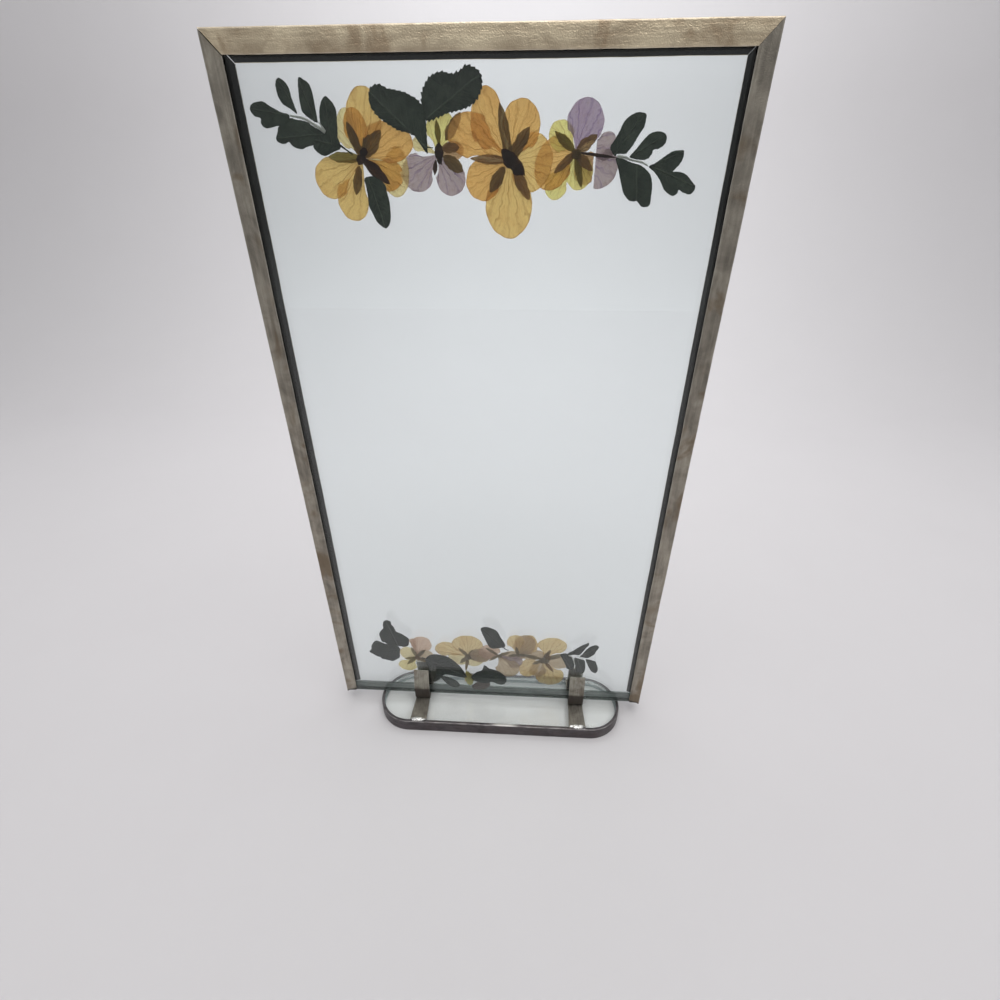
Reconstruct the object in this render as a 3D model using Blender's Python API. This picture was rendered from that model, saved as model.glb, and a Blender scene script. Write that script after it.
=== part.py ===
# Pressed flower frame: violas and leaves laid between two glass panes, a folded metal
# channel on three sides, and two bent clips that hold it upright on an oblong glass base.
# Values are millimetres and degrees. +Z is up and -Y is the front. The origin is on the
# table, under the middle of the frame's width and the middle of the base's depth.

import math

import bmesh
import bpy
import numpy as np

MM = 0.001
GAP = 0.3

# frame
FRAME_WIDTH = 204.0
FRAME_HEIGHT = 343.8
FRAME_DEPTH = 10.4
FRAME_LIFT = 12.2
FRAME_FRONT = -0.65
SHEET = 0.7
LIP_SIDE = 7.2
LIP_TOP = 7.6
LIP_BACK_EXTRA = 0.3
PANE = 2.0
PANE_DROP = 2.0
CHANNEL_DROP = 2.2
TIP_DROP = 3.4
SPACER_HEIGHT = 2.0

# base
BASE_HEIGHT = 8.6
BASE_RADIUS = 22.2
BASE_STRAIGHT = 120.4
BASE_SHIFT = 5.8
EDGING_LIP = 2.0
EDGING_WALL = 0.9
END_SEGMENTS = 16

# straps and clips
STRAP_PLACES = {"left": -47.4, "right": 58.2}
STRAP_THICK = 0.8
STRAP_WAIST = 9.7
STRAP_FLARE = 10.9
CLIP_WIDTH = 10.2
CLIP_THICK = 1.0
CLIP_HEIGHT = 20.5
CLIP_BEND = 6.0
CLIP_LEAN = 2.7
CLIP_ARC_STEPS = 4
SOLDER_SIZE = (11.6, 3.6, 1.0)

# specimens
FILM = 0.3
LAYER_STEP = 0.6
CORE_RADIUS = 2.0

STRAP_TOP = BASE_HEIGHT - EDGING_WALL + STRAP_THICK
PANE_FRONT = FRAME_FRONT + SHEET + GAP
PANE_BACK = FRAME_FRONT + FRAME_DEPTH - SHEET - GAP - PANE
SPECIMEN_FRONT = PANE_FRONT + PANE + GAP

# Each specimen is a centre, a layer behind the front pane, and its petals or leaflets as
# ellipses: centre x, centre z, long and short half axes, turn of the long axis. Heights
# are above the lower ends of the side channels.
VIOLAS = {
    "viola_top_left": ((-49.0, 305.5), 2, (
        (-47.0, 318.0, 9.2, 4.6, 95),
        (-52.5, 314.5, 6.2, 4.5, 100),
        (-38.5, 308.5, 9.8, 6.3, -10),
        (-37.5, 299.5, 7.0, 5.0, -20),
        (-61.0, 297.5, 8.8, 8.2, 150),
        (-54.5, 291.5, 8.6, 6.3, 80),
    )),
    "viola_top_small": ((-18.7, 306.5), 3, (
        (-17.5, 313.8, 6.0, 5.3, 90),
        (-27.2, 309.3, 5.2, 4.4, 150),
        (-13.5, 307.5, 4.5, 3.2, 0),
        (-25.8, 300.7, 7.3, 5.3, 70),
        (-13.8, 299.0, 6.4, 5.7, 100),
    )),
    "viola_top_large": ((9.0, 305.0), 2, (
        (-0.5, 317.5, 10.8, 5.9, 93),
        (-5.5, 311.8, 10.2, 7.6, 10),
        (13.7, 315.2, 8.7, 7.2, 80),
        (-1.0, 297.5, 8.0, 7.2, 60),
        (9.3, 289.5, 11.6, 9.4, 90),
        (18.0, 303.8, 9.9, 8.0, 75),
    )),
    "viola_top_purple": ((35.0, 307.0), 3, (
        (38.0, 316.3, 7.4, 6.6, 80),
        (29.0, 312.0, 5.2, 4.6, 120),
        (26.8, 303.8, 9.2, 7.2, 60),
        (28.0, 296.7, 5.0, 4.4, 80),
        (37.0, 300.0, 5.3, 5.0, 80),
        (44.5, 309.5, 3.9, 3.2, 60),
        (43.8, 302.3, 6.6, 5.8, 60),
    )),
    "viola_bottom_pink": ((-50.0, 30.0), 2, (
        (-47.3, 41.7, 7.2, 6.8, 90),
        (-57.0, 33.0, 5.2, 3.9, 130),
        (-57.2, 20.3, 6.6, 5.9, 20),
        (-46.5, 27.0, 5.0, 4.2, 0),
    )),
    "viola_bottom_tan": ((-15.5, 32.0), 3, (
        (-15.6, 43.0, 10.2, 8.4, 0),
        (-30.5, 38.3, 7.4, 5.9, 10),
        (-22.0, 29.0, 5.5, 4.5, 150),
        (-8.0, 32.5, 7.0, 5.2, -10),
    )),
    "viola_bottom_mauve": ((5.0, 34.5), 2, (
        (-1.0, 37.0, 7.2, 6.3, 20),
        (-7.0, 32.8, 7.5, 6.0, 0),
        (11.5, 22.0, 8.5, 8.0, 120),
    )),
    "viola_bottom_brown": ((18.0, 37.0), 3, (
        (16.3, 46.8, 6.0, 5.4, 90),
        (22.0, 44.0, 9.2, 7.3, 80),
        (25.5, 44.5, 8.6, 5.0, 95),
        (14.5, 34.5, 6.0, 3.5, 0),
    )),
    "viola_bottom_gold": ((35.0, 31.0), 4, (
        (40.0, 44.3, 9.7, 7.3, 0),
        (25.8, 22.5, 9.2, 6.0, 70),
        (40.0, 14.8, 9.7, 8.5, 0),
        (45.5, 28.0, 5.5, 5.5, 0),
        (29.0, 35.0, 9.0, 3.4, 0),
    )),
}
GREENS = {
    "leaf_sprig_top_left": ((-62.0, 311.0), 0, (
        (-82.5, 319.3, 7.4, 3.6, -8),
        (-74.3, 324.8, 5.8, 2.7, 118),
        (-67.2, 323.2, 7.0, 2.9, 108),
        (-59.4, 316.5, 8.2, 3.4, 92),
        (-72.0, 312.8, 9.3, 4.3, 8),
        (-61.0, 310.5, 5.5, 4.2, 150),
    )),
    "pointed_leaf_top": ((-44.2, 291.0), 0, (
        (-44.2, 291.0, 9.6, 4.6, -73),
    )),
    "serrated_leaf_left": ((-33.5, 319.3), 0, (
        (-33.5, 319.3, 13.0, 6.0, -30),
    )),
    "serrated_leaf_right": ((-12.0, 325.0), 1, (
        (-12.0, 325.0, 12.6, 6.4, 27),
    )),
    "leaf_sprig_top_right": ((52.0, 304.0), 0, (
        (54.8, 312.6, 7.6, 3.5, 58),
        (61.6, 308.4, 7.0, 3.6, 27),
        (69.5, 304.5, 6.8, 3.1, 22),
        (73.5, 298.5, 9.4, 4.2, -22),
        (58.4, 297.0, 9.2, 5.6, -56),
    )),
    "lobed_leaf_bottom": ((-64.5, 46.0), 0, (
        (-64.0, 46.2, 10.6, 4.6, -22),
        (-67.2, 53.5, 8.0, 4.0, 98),
    )),
    "round_leaf_bottom": ((-71.3, 34.6), 1, (
        (-71.3, 34.6, 10.8, 7.9, 5),
    )),
    "broad_leaf_bottom": ((-33.0, 21.0), 0, (
        (-31.0, 21.8, 14.6, 9.3, -25),
        (-38.5, 14.0, 7.5, 4.2, -70),
    )),
    "small_leaf_bottom": ((-29.0, 7.2), 1, (
        (-29.0, 7.2, 6.8, 3.4, -42),
    )),
    "bud_bottom": ((-15.0, 11.0), 2, (
        (-15.0, 11.0, 7.0, 2.9, 100),
    )),
    "paired_leaf_bottom": ((-1.5, 14.8), 0, (
        (-1.5, 14.6, 12.2, 7.0, -4),
        (-4.0, 20.3, 5.2, 3.4, 100),
    )),
    "red_leaf_bottom": ((-7.0, 5.2), 1, (
        (-7.0, 5.2, 6.2, 4.2, 20),
    )),
    "upright_leaf_bottom": ((0.7, 51.0), 0, (
        (0.7, 51.0, 10.2, 5.1, 115),
    )),
    "leaf_sprig_bottom_right": ((52.0, 37.0), 0, (
        (57.0, 44.5, 7.8, 2.5, 41),
        (64.6, 42.4, 6.9, 3.0, 44),
        (66.6, 29.2, 7.2, 3.0, -62),
        (59.2, 29.0, 8.6, 3.6, -82),
        (51.2, 31.0, 7.8, 3.4, -65),
    )),
}

PEWTER = (0.42, 0.39, 0.34)
DARK_PEWTER = (0.13, 0.12, 0.12)
SOLDER = (0.72, 0.71, 0.69)
CLEAR = (0.80, 0.90, 0.88)
PETAL = (0.66, 0.50, 0.24)
LEAF = (0.05, 0.07, 0.05)
VIOLA_RAYS = 60
GREEN_RAYS = 36


def clear_scene():
    for obj in list(bpy.data.objects):
        bpy.data.objects.remove(obj, do_unlink=True)


def material(name, color, roughness, metallic):
    mat = bpy.data.materials.new(name)
    mat.use_nodes = True
    shader = mat.node_tree.nodes["Principled BSDF"]
    shader.inputs["Base Color"].default_value = (*color, 1.0)
    shader.inputs["Roughness"].default_value = roughness
    shader.inputs["Metallic"].default_value = metallic
    mat.diffuse_color = (*color, 1.0)
    return mat


def add_object(name, bm, color, roughness, metallic):
    """Turns a bmesh in millimetres into a named object in metres."""
    bmesh.ops.recalc_face_normals(bm, faces=bm.faces)
    bmesh.ops.scale(bm, vec=(MM, MM, MM), verts=bm.verts)
    mesh = bpy.data.meshes.new(name)
    bm.to_mesh(mesh)
    bm.free()
    mesh.materials.append(material(name, color, roughness, metallic))
    obj = bpy.data.objects.new(name, mesh)
    bpy.context.scene.collection.objects.link(obj)
    return obj


def loft(sections, closed=False):
    """Bridges rings of equal length; an open run of rings is capped at both ends."""
    bm = bmesh.new()
    rings = [[bm.verts.new(point) for point in section] for section in sections]
    pairs = list(zip(rings, rings[1:]))
    if closed:
        pairs.append((rings[-1], rings[0]))
    for near, far in pairs:
        for i in range(len(near)):
            j = (i + 1) % len(near)
            bm.faces.new((near[i], near[j], far[j], far[i]))
    if not closed:
        bm.faces.new(rings[0][::-1])
        bm.faces.new(rings[-1])
    return bm


def box(low, high):
    """A block between two corners."""
    (x0, y0, z0), (x1, y1, z1) = low, high
    outline = ((x0, y0), (x1, y0), (x1, y1), (x0, y1))
    return loft([[(x, y, z) for x, y in outline] for z in (z0, z1)])


def arc(center, radius, start, end, steps):
    """Points on an arc, both ends included, angles in degrees."""
    angles = np.radians(np.linspace(start, end, steps + 1))
    return [(center[0] + radius * math.cos(a), center[1] + radius * math.sin(a)) for a in angles]


def channel_profile(lip):
    """The folded U in section: distance in from the outer edge, depth behind the front."""
    back = lip + LIP_BACK_EXTRA
    depth = FRAME_DEPTH
    return (
        (0.0, 0.0),
        (lip, 0.0),
        (lip, SHEET),
        (SHEET, SHEET),
        (SHEET, depth - SHEET),
        (back, depth - SHEET),
        (back, depth),
        (0.0, depth),
    )


def side_channel(side):
    """side is -1 on the left and 1 on the right; the top end is mitred."""
    profile = channel_profile(LIP_SIDE)
    lower = []
    upper = []
    for inward, depth in profile:
        x = side * (FRAME_WIDTH / 2 - inward)
        y = FRAME_FRONT + depth
        drop = TIP_DROP if inward == 0.0 else CHANNEL_DROP
        lower.append((x, y, FRAME_LIFT - drop))
        upper.append((x, y, FRAME_LIFT + FRAME_HEIGHT - inward - GAP))
    return loft([lower, upper])


def top_channel():
    profile = channel_profile(LIP_TOP)
    ends = []
    for side in (-1, 1):
        ends.append([
            (
                side * (FRAME_WIDTH / 2 - inward - GAP),
                FRAME_FRONT + depth,
                FRAME_LIFT + FRAME_HEIGHT - inward,
            )
            for inward, depth in profile
        ])
    return loft(ends)


def pane(front):
    half = FRAME_WIDTH / 2 - SHEET - GAP
    low = (-half, front, FRAME_LIFT - PANE_DROP)
    high = (half, front + PANE, FRAME_LIFT + FRAME_HEIGHT - SHEET - GAP)
    return box(low, high)


def spacer():
    half = FRAME_WIDTH / 2 - SHEET - GAP
    low = (-half, PANE_FRONT + PANE + GAP, FRAME_LIFT - PANE_DROP)
    high = (half, PANE_BACK - GAP, FRAME_LIFT - PANE_DROP + SPACER_HEIGHT)
    return box(low, high)


def oblong(inset):
    """The base's outline, two half circles and two straights, moved in by inset."""
    radius = BASE_RADIUS - inset
    right = arc((BASE_SHIFT + BASE_STRAIGHT / 2, 0.0), radius, -90, 90, END_SEGMENTS)
    left = arc((BASE_SHIFT - BASE_STRAIGHT / 2, 0.0), radius, 90, 270, END_SEGMENTS)
    return right + left


def base_edging():
    """A channel open to the inside, carried round the base."""
    profile = (
        (0.0, 0.0),
        (EDGING_LIP, 0.0),
        (EDGING_LIP, EDGING_WALL),
        (EDGING_WALL, EDGING_WALL),
        (EDGING_WALL, BASE_HEIGHT - EDGING_WALL),
        (EDGING_LIP, BASE_HEIGHT - EDGING_WALL),
        (EDGING_LIP, BASE_HEIGHT),
        (0.0, BASE_HEIGHT),
    )
    outlines = [oblong(inset) for inset, z in profile]
    heights = [z for inset, z in profile]
    sections = [
        [(*outline[i], z) for outline, z in zip(outlines, heights)]
        for i in range(len(outlines[0]))
    ]
    return loft(sections, closed=True)


def base_glass():
    outline = oblong(EDGING_WALL + GAP)
    low = EDGING_WALL + GAP
    high = BASE_HEIGHT - EDGING_WALL - GAP
    return loft([[(x, y, z) for x, y in outline] for z in (low, high)])


def strap(x):
    """A flat strip across the base glass, a little wider where it meets the edging."""
    reach = BASE_RADIUS - EDGING_LIP - GAP
    low = STRAP_TOP - STRAP_THICK
    sections = []
    for t in np.linspace(-1.0, 1.0, 9):
        half = (STRAP_WAIST + (STRAP_FLARE - STRAP_WAIST) * t * t) / 2
        y = reach * t
        sections.append([
            (x - half, y, low),
            (x + half, y, low),
            (x + half, y, STRAP_TOP),
            (x - half, y, STRAP_TOP),
        ])
    return loft(sections)


def clip_outline(thickness_in):
    """Half of the clip's side view from its top to its web, thickness_in from the outside."""
    front = -CLIP_LEAN - GAP + thickness_in
    top = -GAP + thickness_in
    foot = STRAP_TOP + GAP - FRAME_LIFT + thickness_in
    radius = 1.6 - thickness_in
    corner = arc((front + radius, foot + radius), radius, 180, 270, CLIP_ARC_STEPS)
    return [(top, CLIP_HEIGHT), (front, CLIP_BEND)] + corner


def clip(x):
    """A strip bent into a U whose legs lean in and touch the panes at their tops."""
    outer = clip_outline(0.0)
    inner = clip_outline(CLIP_THICK)
    back_outer = [(FRAME_DEPTH - y, z) for y, z in outer][::-1]
    back_inner = [(FRAME_DEPTH - y, z) for y, z in inner][::-1]
    outline = outer + back_outer + back_inner[::-1] + inner[::-1]
    sections = [
        [(x + side * CLIP_WIDTH / 2, FRAME_FRONT + y, FRAME_LIFT + z) for y, z in outline]
        for side in (-1, 1)
    ]
    return loft(sections)


def solder(x, side):
    """A low dome over the joint of a strap and the edging."""
    bm = bmesh.new()
    bmesh.ops.create_uvsphere(bm, u_segments=12, v_segments=8, radius=1.0)
    whole = bm.verts[:] + bm.edges[:] + bm.faces[:]
    cut = bmesh.ops.bisect_plane(
        bm, geom=whole, plane_co=(0, 0, 0), plane_no=(0, 0, -1), clear_outer=True, dist=1e-5
    )
    rim = [item for item in cut["geom_cut"] if isinstance(item, bmesh.types.BMEdge)]
    bmesh.ops.holes_fill(bm, edges=rim)
    length, width, height = SOLDER_SIZE
    bmesh.ops.scale(bm, vec=(length / 2, width / 2, height), verts=bm.verts)
    y = side * (BASE_RADIUS - EDGING_LIP)
    bmesh.ops.translate(bm, vec=(x, y, BASE_HEIGHT + GAP), verts=bm.verts)
    return bm


def reach(center, angle, blade):
    """Distance from the centre to the far side of an ellipse along a ray, or nothing."""
    cx, cz, long_half, short_half, turn = blade
    turn = math.radians(turn)
    dx = center[0] - cx
    dz = center[1] - cz
    along = (dx * math.cos(turn) + dz * math.sin(turn)) / long_half
    across = (dz * math.cos(turn) - dx * math.sin(turn)) / short_half
    step_along = math.cos(angle - turn) / long_half
    step_across = math.sin(angle - turn) / short_half
    a = step_along ** 2 + step_across ** 2
    b = along * step_along + across * step_across
    c = along ** 2 + across ** 2 - 1.0
    inside = b * b - a * c
    return (math.sqrt(inside) - b) / a if inside > 0.0 else 0.0


def specimen(center, layer, blades, rays):
    """A thin plate whose outline is the furthest petal or leaflet along each ray."""
    front = SPECIMEN_FRONT + layer * LAYER_STEP
    outline = []
    for angle in np.linspace(0.0, 2 * math.pi, rays, endpoint=False):
        radius = max([CORE_RADIUS] + [reach(center, angle, blade) for blade in blades])
        outline.append((
            center[0] + radius * math.cos(angle),
            FRAME_LIFT + center[1] + radius * math.sin(angle),
        ))
    return loft([[(x, y, z) for x, z in outline] for y in (front, front + FILM)])


def build_frame():
    add_object("channel_left", side_channel(-1), PEWTER, 0.42, 1.0)
    add_object("channel_right", side_channel(1), PEWTER, 0.42, 1.0)
    add_object("channel_top", top_channel(), PEWTER, 0.42, 1.0)
    add_object("front_glass", pane(PANE_FRONT), CLEAR, 0.02, 0.0)
    add_object("back_glass", pane(PANE_BACK), CLEAR, 0.02, 0.0)
    add_object("bottom_spacer", spacer(), CLEAR, 0.2, 0.0)


def build_base():
    add_object("base_edging", base_edging(), DARK_PEWTER, 0.4, 1.0)
    add_object("base_glass", base_glass(), CLEAR, 0.02, 0.0)
    for name, x in STRAP_PLACES.items():
        add_object("strap_" + name, strap(x), PEWTER, 0.45, 1.0)
        add_object("clip_" + name, clip(x), PEWTER, 0.4, 1.0)
        add_object("solder_front_" + name, solder(x, -1), SOLDER, 0.25, 1.0)
        add_object("solder_back_" + name, solder(x, 1), SOLDER, 0.25, 1.0)


def build_specimens():
    for name, (center, layer, blades) in VIOLAS.items():
        add_object(name, specimen(center, layer, blades, VIOLA_RAYS), PETAL, 0.8, 0.0)
    for name, (center, layer, blades) in GREENS.items():
        add_object(name, specimen(center, layer, blades, GREEN_RAYS), LEAF, 0.8, 0.0)


clear_scene()
build_frame()
build_base()
build_specimens()
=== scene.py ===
import math

import bpy
import numpy as np
from mathutils import Matrix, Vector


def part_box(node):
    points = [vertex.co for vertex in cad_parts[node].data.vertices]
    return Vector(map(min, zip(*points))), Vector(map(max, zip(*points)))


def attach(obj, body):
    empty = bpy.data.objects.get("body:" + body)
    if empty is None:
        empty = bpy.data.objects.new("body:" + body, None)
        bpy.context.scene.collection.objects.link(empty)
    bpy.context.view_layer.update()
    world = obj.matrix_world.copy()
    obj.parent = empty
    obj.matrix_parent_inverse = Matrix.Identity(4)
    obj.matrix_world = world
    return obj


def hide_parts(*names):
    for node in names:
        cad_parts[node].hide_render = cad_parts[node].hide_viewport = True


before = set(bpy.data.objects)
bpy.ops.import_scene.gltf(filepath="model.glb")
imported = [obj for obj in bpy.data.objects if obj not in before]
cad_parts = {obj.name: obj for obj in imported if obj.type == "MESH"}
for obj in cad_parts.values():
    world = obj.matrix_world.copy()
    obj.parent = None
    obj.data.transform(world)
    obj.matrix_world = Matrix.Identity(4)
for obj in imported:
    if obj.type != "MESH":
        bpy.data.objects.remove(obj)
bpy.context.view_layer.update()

mm = 0.001
# where the glass opening starts, and the zero of every height below
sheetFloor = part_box("bottom_spacer")[1].z
frameLow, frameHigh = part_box("channel_left")[0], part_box("channel_right")[1]
middleX = (frameLow.x + frameHigh.x) / 2


class Wire:
    # one shader socket, with + - * that add Math nodes
    def __init__(self, tree, socket=None):
        self.tree = tree
        self.socket = socket

    def node(self, kind, settings=None, sockets=None, out=0):
        made = self.tree.nodes.new(kind)
        for key, value in (settings or {}).items():
            setattr(made, key, value)
        for key, value in (sockets or {}).items():
            target = made.inputs[key]
            if isinstance(value, Wire):
                self.tree.links.new(value.socket, target)
            else:
                target.default_value = value
        return Wire(self.tree, made.outputs[out])

    def maths(self, operation, first, second=0.5, clamp=False):
        settings = {"operation": operation, "use_clamp": clamp}
        return self.node("ShaderNodeMath", settings, {0: first, 1: second})

    def __add__(self, other):
        return self.maths("ADD", self, other)

    def __radd__(self, other):
        return self.maths("ADD", other, self)

    def __sub__(self, other):
        return self.maths("SUBTRACT", self, other)

    def __rsub__(self, other):
        return self.maths("SUBTRACT", other, self)

    def __mul__(self, other):
        return self.maths("MULTIPLY", self, other)

    def __rmul__(self, other):
        return self.maths("MULTIPLY", other, self)

    def sine(self):
        return self.maths("SINE", self)

    def size(self):
        return self.maths("ABSOLUTE", self)

    def clipped(self):
        return self.maths("ADD", self, 0.0, clamp=True)

    def step(self, low, high, toLow=0.0, toHigh=1.0):
        # a smooth step from toLow to toHigh as the value goes from low to high
        sockets = {"Value": self, "From Min": low, "From Max": high, "To Min": toLow, "To Max": toHigh}
        return self.node("ShaderNodeMapRange", {"interpolation_type": "SMOOTHSTEP"}, sockets)

    def noise(self, scale, detail=3.0, rough=0.55, warp=0.0):
        sockets = {"Vector": self, "Scale": scale, "Detail": detail, "Roughness": rough, "Distortion": warp}
        return self.node("ShaderNodeTexNoise", {}, sockets, "Fac")

    def stretched(self, scale, turn=(0, 0, 0)):
        sockets = {"Vector": self, "Scale": scale, "Rotation": turn}
        return self.node("ShaderNodeMapping", {"vector_type": "TEXTURE"}, sockets)

    def parts(self):
        split = self.node("ShaderNodeSeparateXYZ", {}, {0: self})
        return [Wire(self.tree, out) for out in split.socket.node.outputs]

    def blend(self, first, second, factor, kind="MIX"):
        # colours a and b mixed by factor
        made = self.tree.nodes.new("ShaderNodeMix")
        made.data_type = "RGBA"
        made.blend_type = kind
        for index, value in ((0, factor), (6, first), (7, second)):
            if isinstance(value, Wire):
                self.tree.links.new(value.socket, made.inputs[index])
            else:
                made.inputs[index].default_value = value if index == 0 else (*value, 1)
        return Wire(self.tree, made.outputs[2])


def newMaterial(name):
    material = bpy.data.materials.new(name)
    material.use_nodes = True
    material.node_tree.nodes.clear()
    return material, Wire(material.node_tree)


def finishMaterial(material, start, settings, relief=None, volume=None):
    # one Principled shader with these sockets, and a Bump from relief = (height, distance)
    if relief:
        height, distance = relief
        settings["Normal"] = start.node("ShaderNodeBump", {},
                {"Strength": 1.0, "Distance": distance, "Height": height})
    shader = start.node("ShaderNodeBsdfPrincipled", {}, settings)
    sockets = {"Surface": shader}
    if volume:
        sockets["Volume"] = volume
    linkOutput(material, sockets)
    return material


def linkOutput(material, sockets):
    output = material.node_tree.nodes.new("ShaderNodeOutputMaterial")
    for key, wire in sockets.items():
        material.node_tree.links.new(wire.socket, output.inputs[key])


def objectPlace(start):
    return start.node("ShaderNodeTexCoord", {}, {}, "Object")


def runMap(start):
    return start.node("ShaderNodeUVMap", {"uv_map": "run"}, {})


def toneColour(start, out="Color"):
    return start.node("ShaderNodeAttribute", {"attribute_name": "tone"}, {}, out)


def metalMaterial(name, look):
    # old soft metal: clouds, fine streaks along the strip, brown stains, rubbed edges, and the look's inner
    # colour laid where the tone's second channel is set: painted shade inside the channels, at their feet,
    # on their tabs and on the clips below the bend, painted light inside the base edging, and an even
    # darkening of the straps
    material, start = newMaterial(name)
    place = objectPlace(start)
    tone = start.node("ShaderNodeSeparateColor", {}, {0: toneColour(start)})
    wear = Wire(tone.tree, tone.socket.node.outputs[0])
    inside = Wire(tone.tree, tone.socket.node.outputs[1])
    clouds = place.noise(look["cloudScale"], 4.0, 0.62, 0.6)
    streaks = place.stretched(look["streaks"]).noise(look["streakScale"], 3.0, 0.6)
    grit = place.noise(1900.0, 2.0, 0.6)
    stains = place.noise(look["cloudScale"] * 0.45, 3.0, 0.6, 1.2).step(0.50, 0.68)
    light = clouds.step(0.30, 0.70) * 0.55 + streaks.step(0.30, 0.72) * 0.45
    base = start.blend(look["dark"], look["light"], light)
    base = start.blend(base, look["stain"], stains * look["stained"])
    base = start.blend(base, look["rubbed"], wear * look["rub"])
    # painted shade, and on the base edging painted light: the inner colour laid by the tone's second
    # channel
    base = start.blend(base, look["inner"], inside)
    rough = look["rough"] + clouds * 0.18 + grit * 0.10 + inside * 0.2
    height = streaks * 0.5 + clouds * 0.6 + grit * 0.35
    settings = {"Base Color": base, "Metallic": 1.0, "Roughness": rough}
    if look["dulled"]:
        settings["Metallic"] = 1 - inside * 0.75
    return finishMaterial(material, start, settings, (height, look["relief"]))


def solderMaterial():
    material, start = newMaterial("solderTin")
    place = objectPlace(start)
    cloud = place.noise(700.0, 3.0, 0.6)
    base = start.blend((0.62, 0.61, 0.58), (0.93, 0.92, 0.90), cloud.step(0.35, 0.6))
    settings = {"Base Color": base, "Metallic": 1.0, "Roughness": 0.16 + cloud * 0.25}
    return finishMaterial(material, start, settings, (cloud, 0.0003))


def glassMaterial(name, look):
    # clear float glass: a trace of dust in its roughness, green where it's deep; on the panes the strip
    # below the sheet floor gets painted shade, dark green with faint lines
    material, start = newMaterial(name)
    place = objectPlace(start)
    x, y, z = place.parts()
    film = place.noise(26.0, 4.0, 0.7, 0.8)
    if look["edge"]:
        # painted shade: the panes' strip below the sheet floor is laid dark green with faint lines, and
        # made a little rough
        paintedBandMask = z.step(look["edge"] - 0.0004, look["edge"] + 0.0003, 1.0, 0.0)
        lines = place.stretched((1, 0.02, 0.02)).noise(24.0, 3.0, 0.6)
        paintedBandShade = start.blend(look["bandShadeDark"], look["bandShadeLight"], lines.step(0.35, 0.65))
        base = start.blend(look["tint"], paintedBandShade, paintedBandMask)
        rough = paintedBandMask * 0.22 + film.step(0.55, 0.85) * 0.012
    else:
        base = start.blend(look["tint"], look["smear"], film.step(0.45, 0.8))
        rough = film.step(0.55, 0.85) * 0.012
    volume = start.node("ShaderNodeVolumeAbsorption", {},
            {"Color": (*look["depth"], 1), "Density": look["density"]})
    settings = {"Base Color": base, "Roughness": rough, "IOR": 1.52, "Transmission Weight": 1.0}
    return finishMaterial(material, start, settings, None, volume)


def stripMaterial():
    # the strip of glass that keeps the panes apart, seen on its sawn edge; its dark green is partly the
    # glass's own green in depth and partly painted shade
    material, start = newMaterial("sawnGlassStrip")
    place = objectPlace(start)
    lines = place.stretched((1, 0.012, 0.012)).noise(20.0, 3.0, 0.6)
    cloud = place.noise(90.0, 3.0, 0.6)
    glassGreenAndPaintedShade = start.blend((0.02, 0.032, 0.026), (0.085, 0.11, 0.095),
            (lines * 0.75 + cloud * 0.25).step(0.38, 0.62))
    settings = {"Base Color": glassGreenAndPaintedShade, "Roughness": 0.30 + cloud * 0.2, "IOR": 1.5,
            "Transmission Weight": 0.72}
    return finishMaterial(material, start, settings, (lines, 0.0002))


def petalMaterial(name, look):
    # a pressed petal: light comes through it; veins fan out from its claw, and it is mottled and thinly
    # rimmed
    material, start = newMaterial(name)
    place = objectPlace(start)
    fan, reach, _ = runMap(start).parts()
    rim = toneColour(start, "Alpha")
    wobble = place.noise(330.0, 2.0, 0.5)
    coarse = ((fan * look["veins"] + wobble * 1.1) * math.pi).sine().size()
    fine = ((fan * look["veins"] * 2.6 + wobble * 2.4 + reach * 1.5) * math.pi).sine().size()
    veins = coarse.step(0.0, 0.46, 1.0, 0.0) * 0.75 + fine.step(0.0, 0.45, 1.0, 0.0) * 0.45
    clouds = place.noise(150.0, 3.0, 0.6, 0.4)
    specks = place.noise(900.0, 3.0, 0.65)
    base = toneColour(start)
    base = start.blend(base, look["vein"], (veins * look["veined"]
            * reach.step(1.05, 0.15, 0.45, 1.0)).clipped(), "MULTIPLY")
    base = start.blend(base, look["cloud"], clouds.step(0.42, 0.72) * look["clouded"], "MULTIPLY")
    base = start.blend(base, look["fleck"], specks.step(0.48, 0.74) * 0.5, "MULTIPLY")
    base = start.blend(base, look["rim"], rim.step(0.93, 1.0) * 0.55, "MULTIPLY")
    height = veins * 0.6 + specks * 0.5 + clouds * 0.4
    settings = {
        "Base Color": base, "Roughness": 0.55 + specks * 0.2, "IOR": 1.0,
        "Transmission Weight": look["through"],
    }
    return finishMaterial(material, start, settings, (height, 0.00025))


def leafMaterial(name, look):
    # a pressed leaf: nearly opaque, a pale rib, slanting side veins and a mottled, dull skin
    material, start = newMaterial(name)
    place = objectPlace(start)
    along, across, _ = runMap(start).parts()
    rim = toneColour(start, "Alpha")
    side = across.size()
    clouds = place.noise(210.0, 4.0, 0.62, 0.5)
    cells = place.noise(1500.0, 2.0, 0.6)
    rib = side.step(0.0, 0.09, 1.0, 0.0)
    slant = ((along * look["veins"] - side * 2.2 + clouds * 0.5) * math.pi).sine().size()
    veins = slant.step(0.0, 0.22, 1.0, 0.0) * side.step(0.95, 0.2, 0.0, 1.0)
    base = start.blend(look["dark"], look["light"], clouds.step(0.30, 0.72) * 0.75 + cells * 0.25)
    base = start.blend(base, look["vein"], (rib * 0.55 + veins * 0.28).clipped())
    base = start.blend(base, look["edge"], rim.step(0.88, 1.0) * 0.6)
    height = cells * 0.45 + rib * 0.9 + veins * 0.6 + clouds * 0.5
    settings = {
        "Base Color": base, "Roughness": 0.52 + clouds * 0.25, "Specular IOR Level": look["gloss"],
        "Transmission Weight": look["through"], "IOR": 1.3,
    }
    return finishMaterial(material, start, settings, (height, 0.0003))


# inner is painted shade: the near-black laid inside the channels, at the side channels' feet and on their
# tabs
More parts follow.
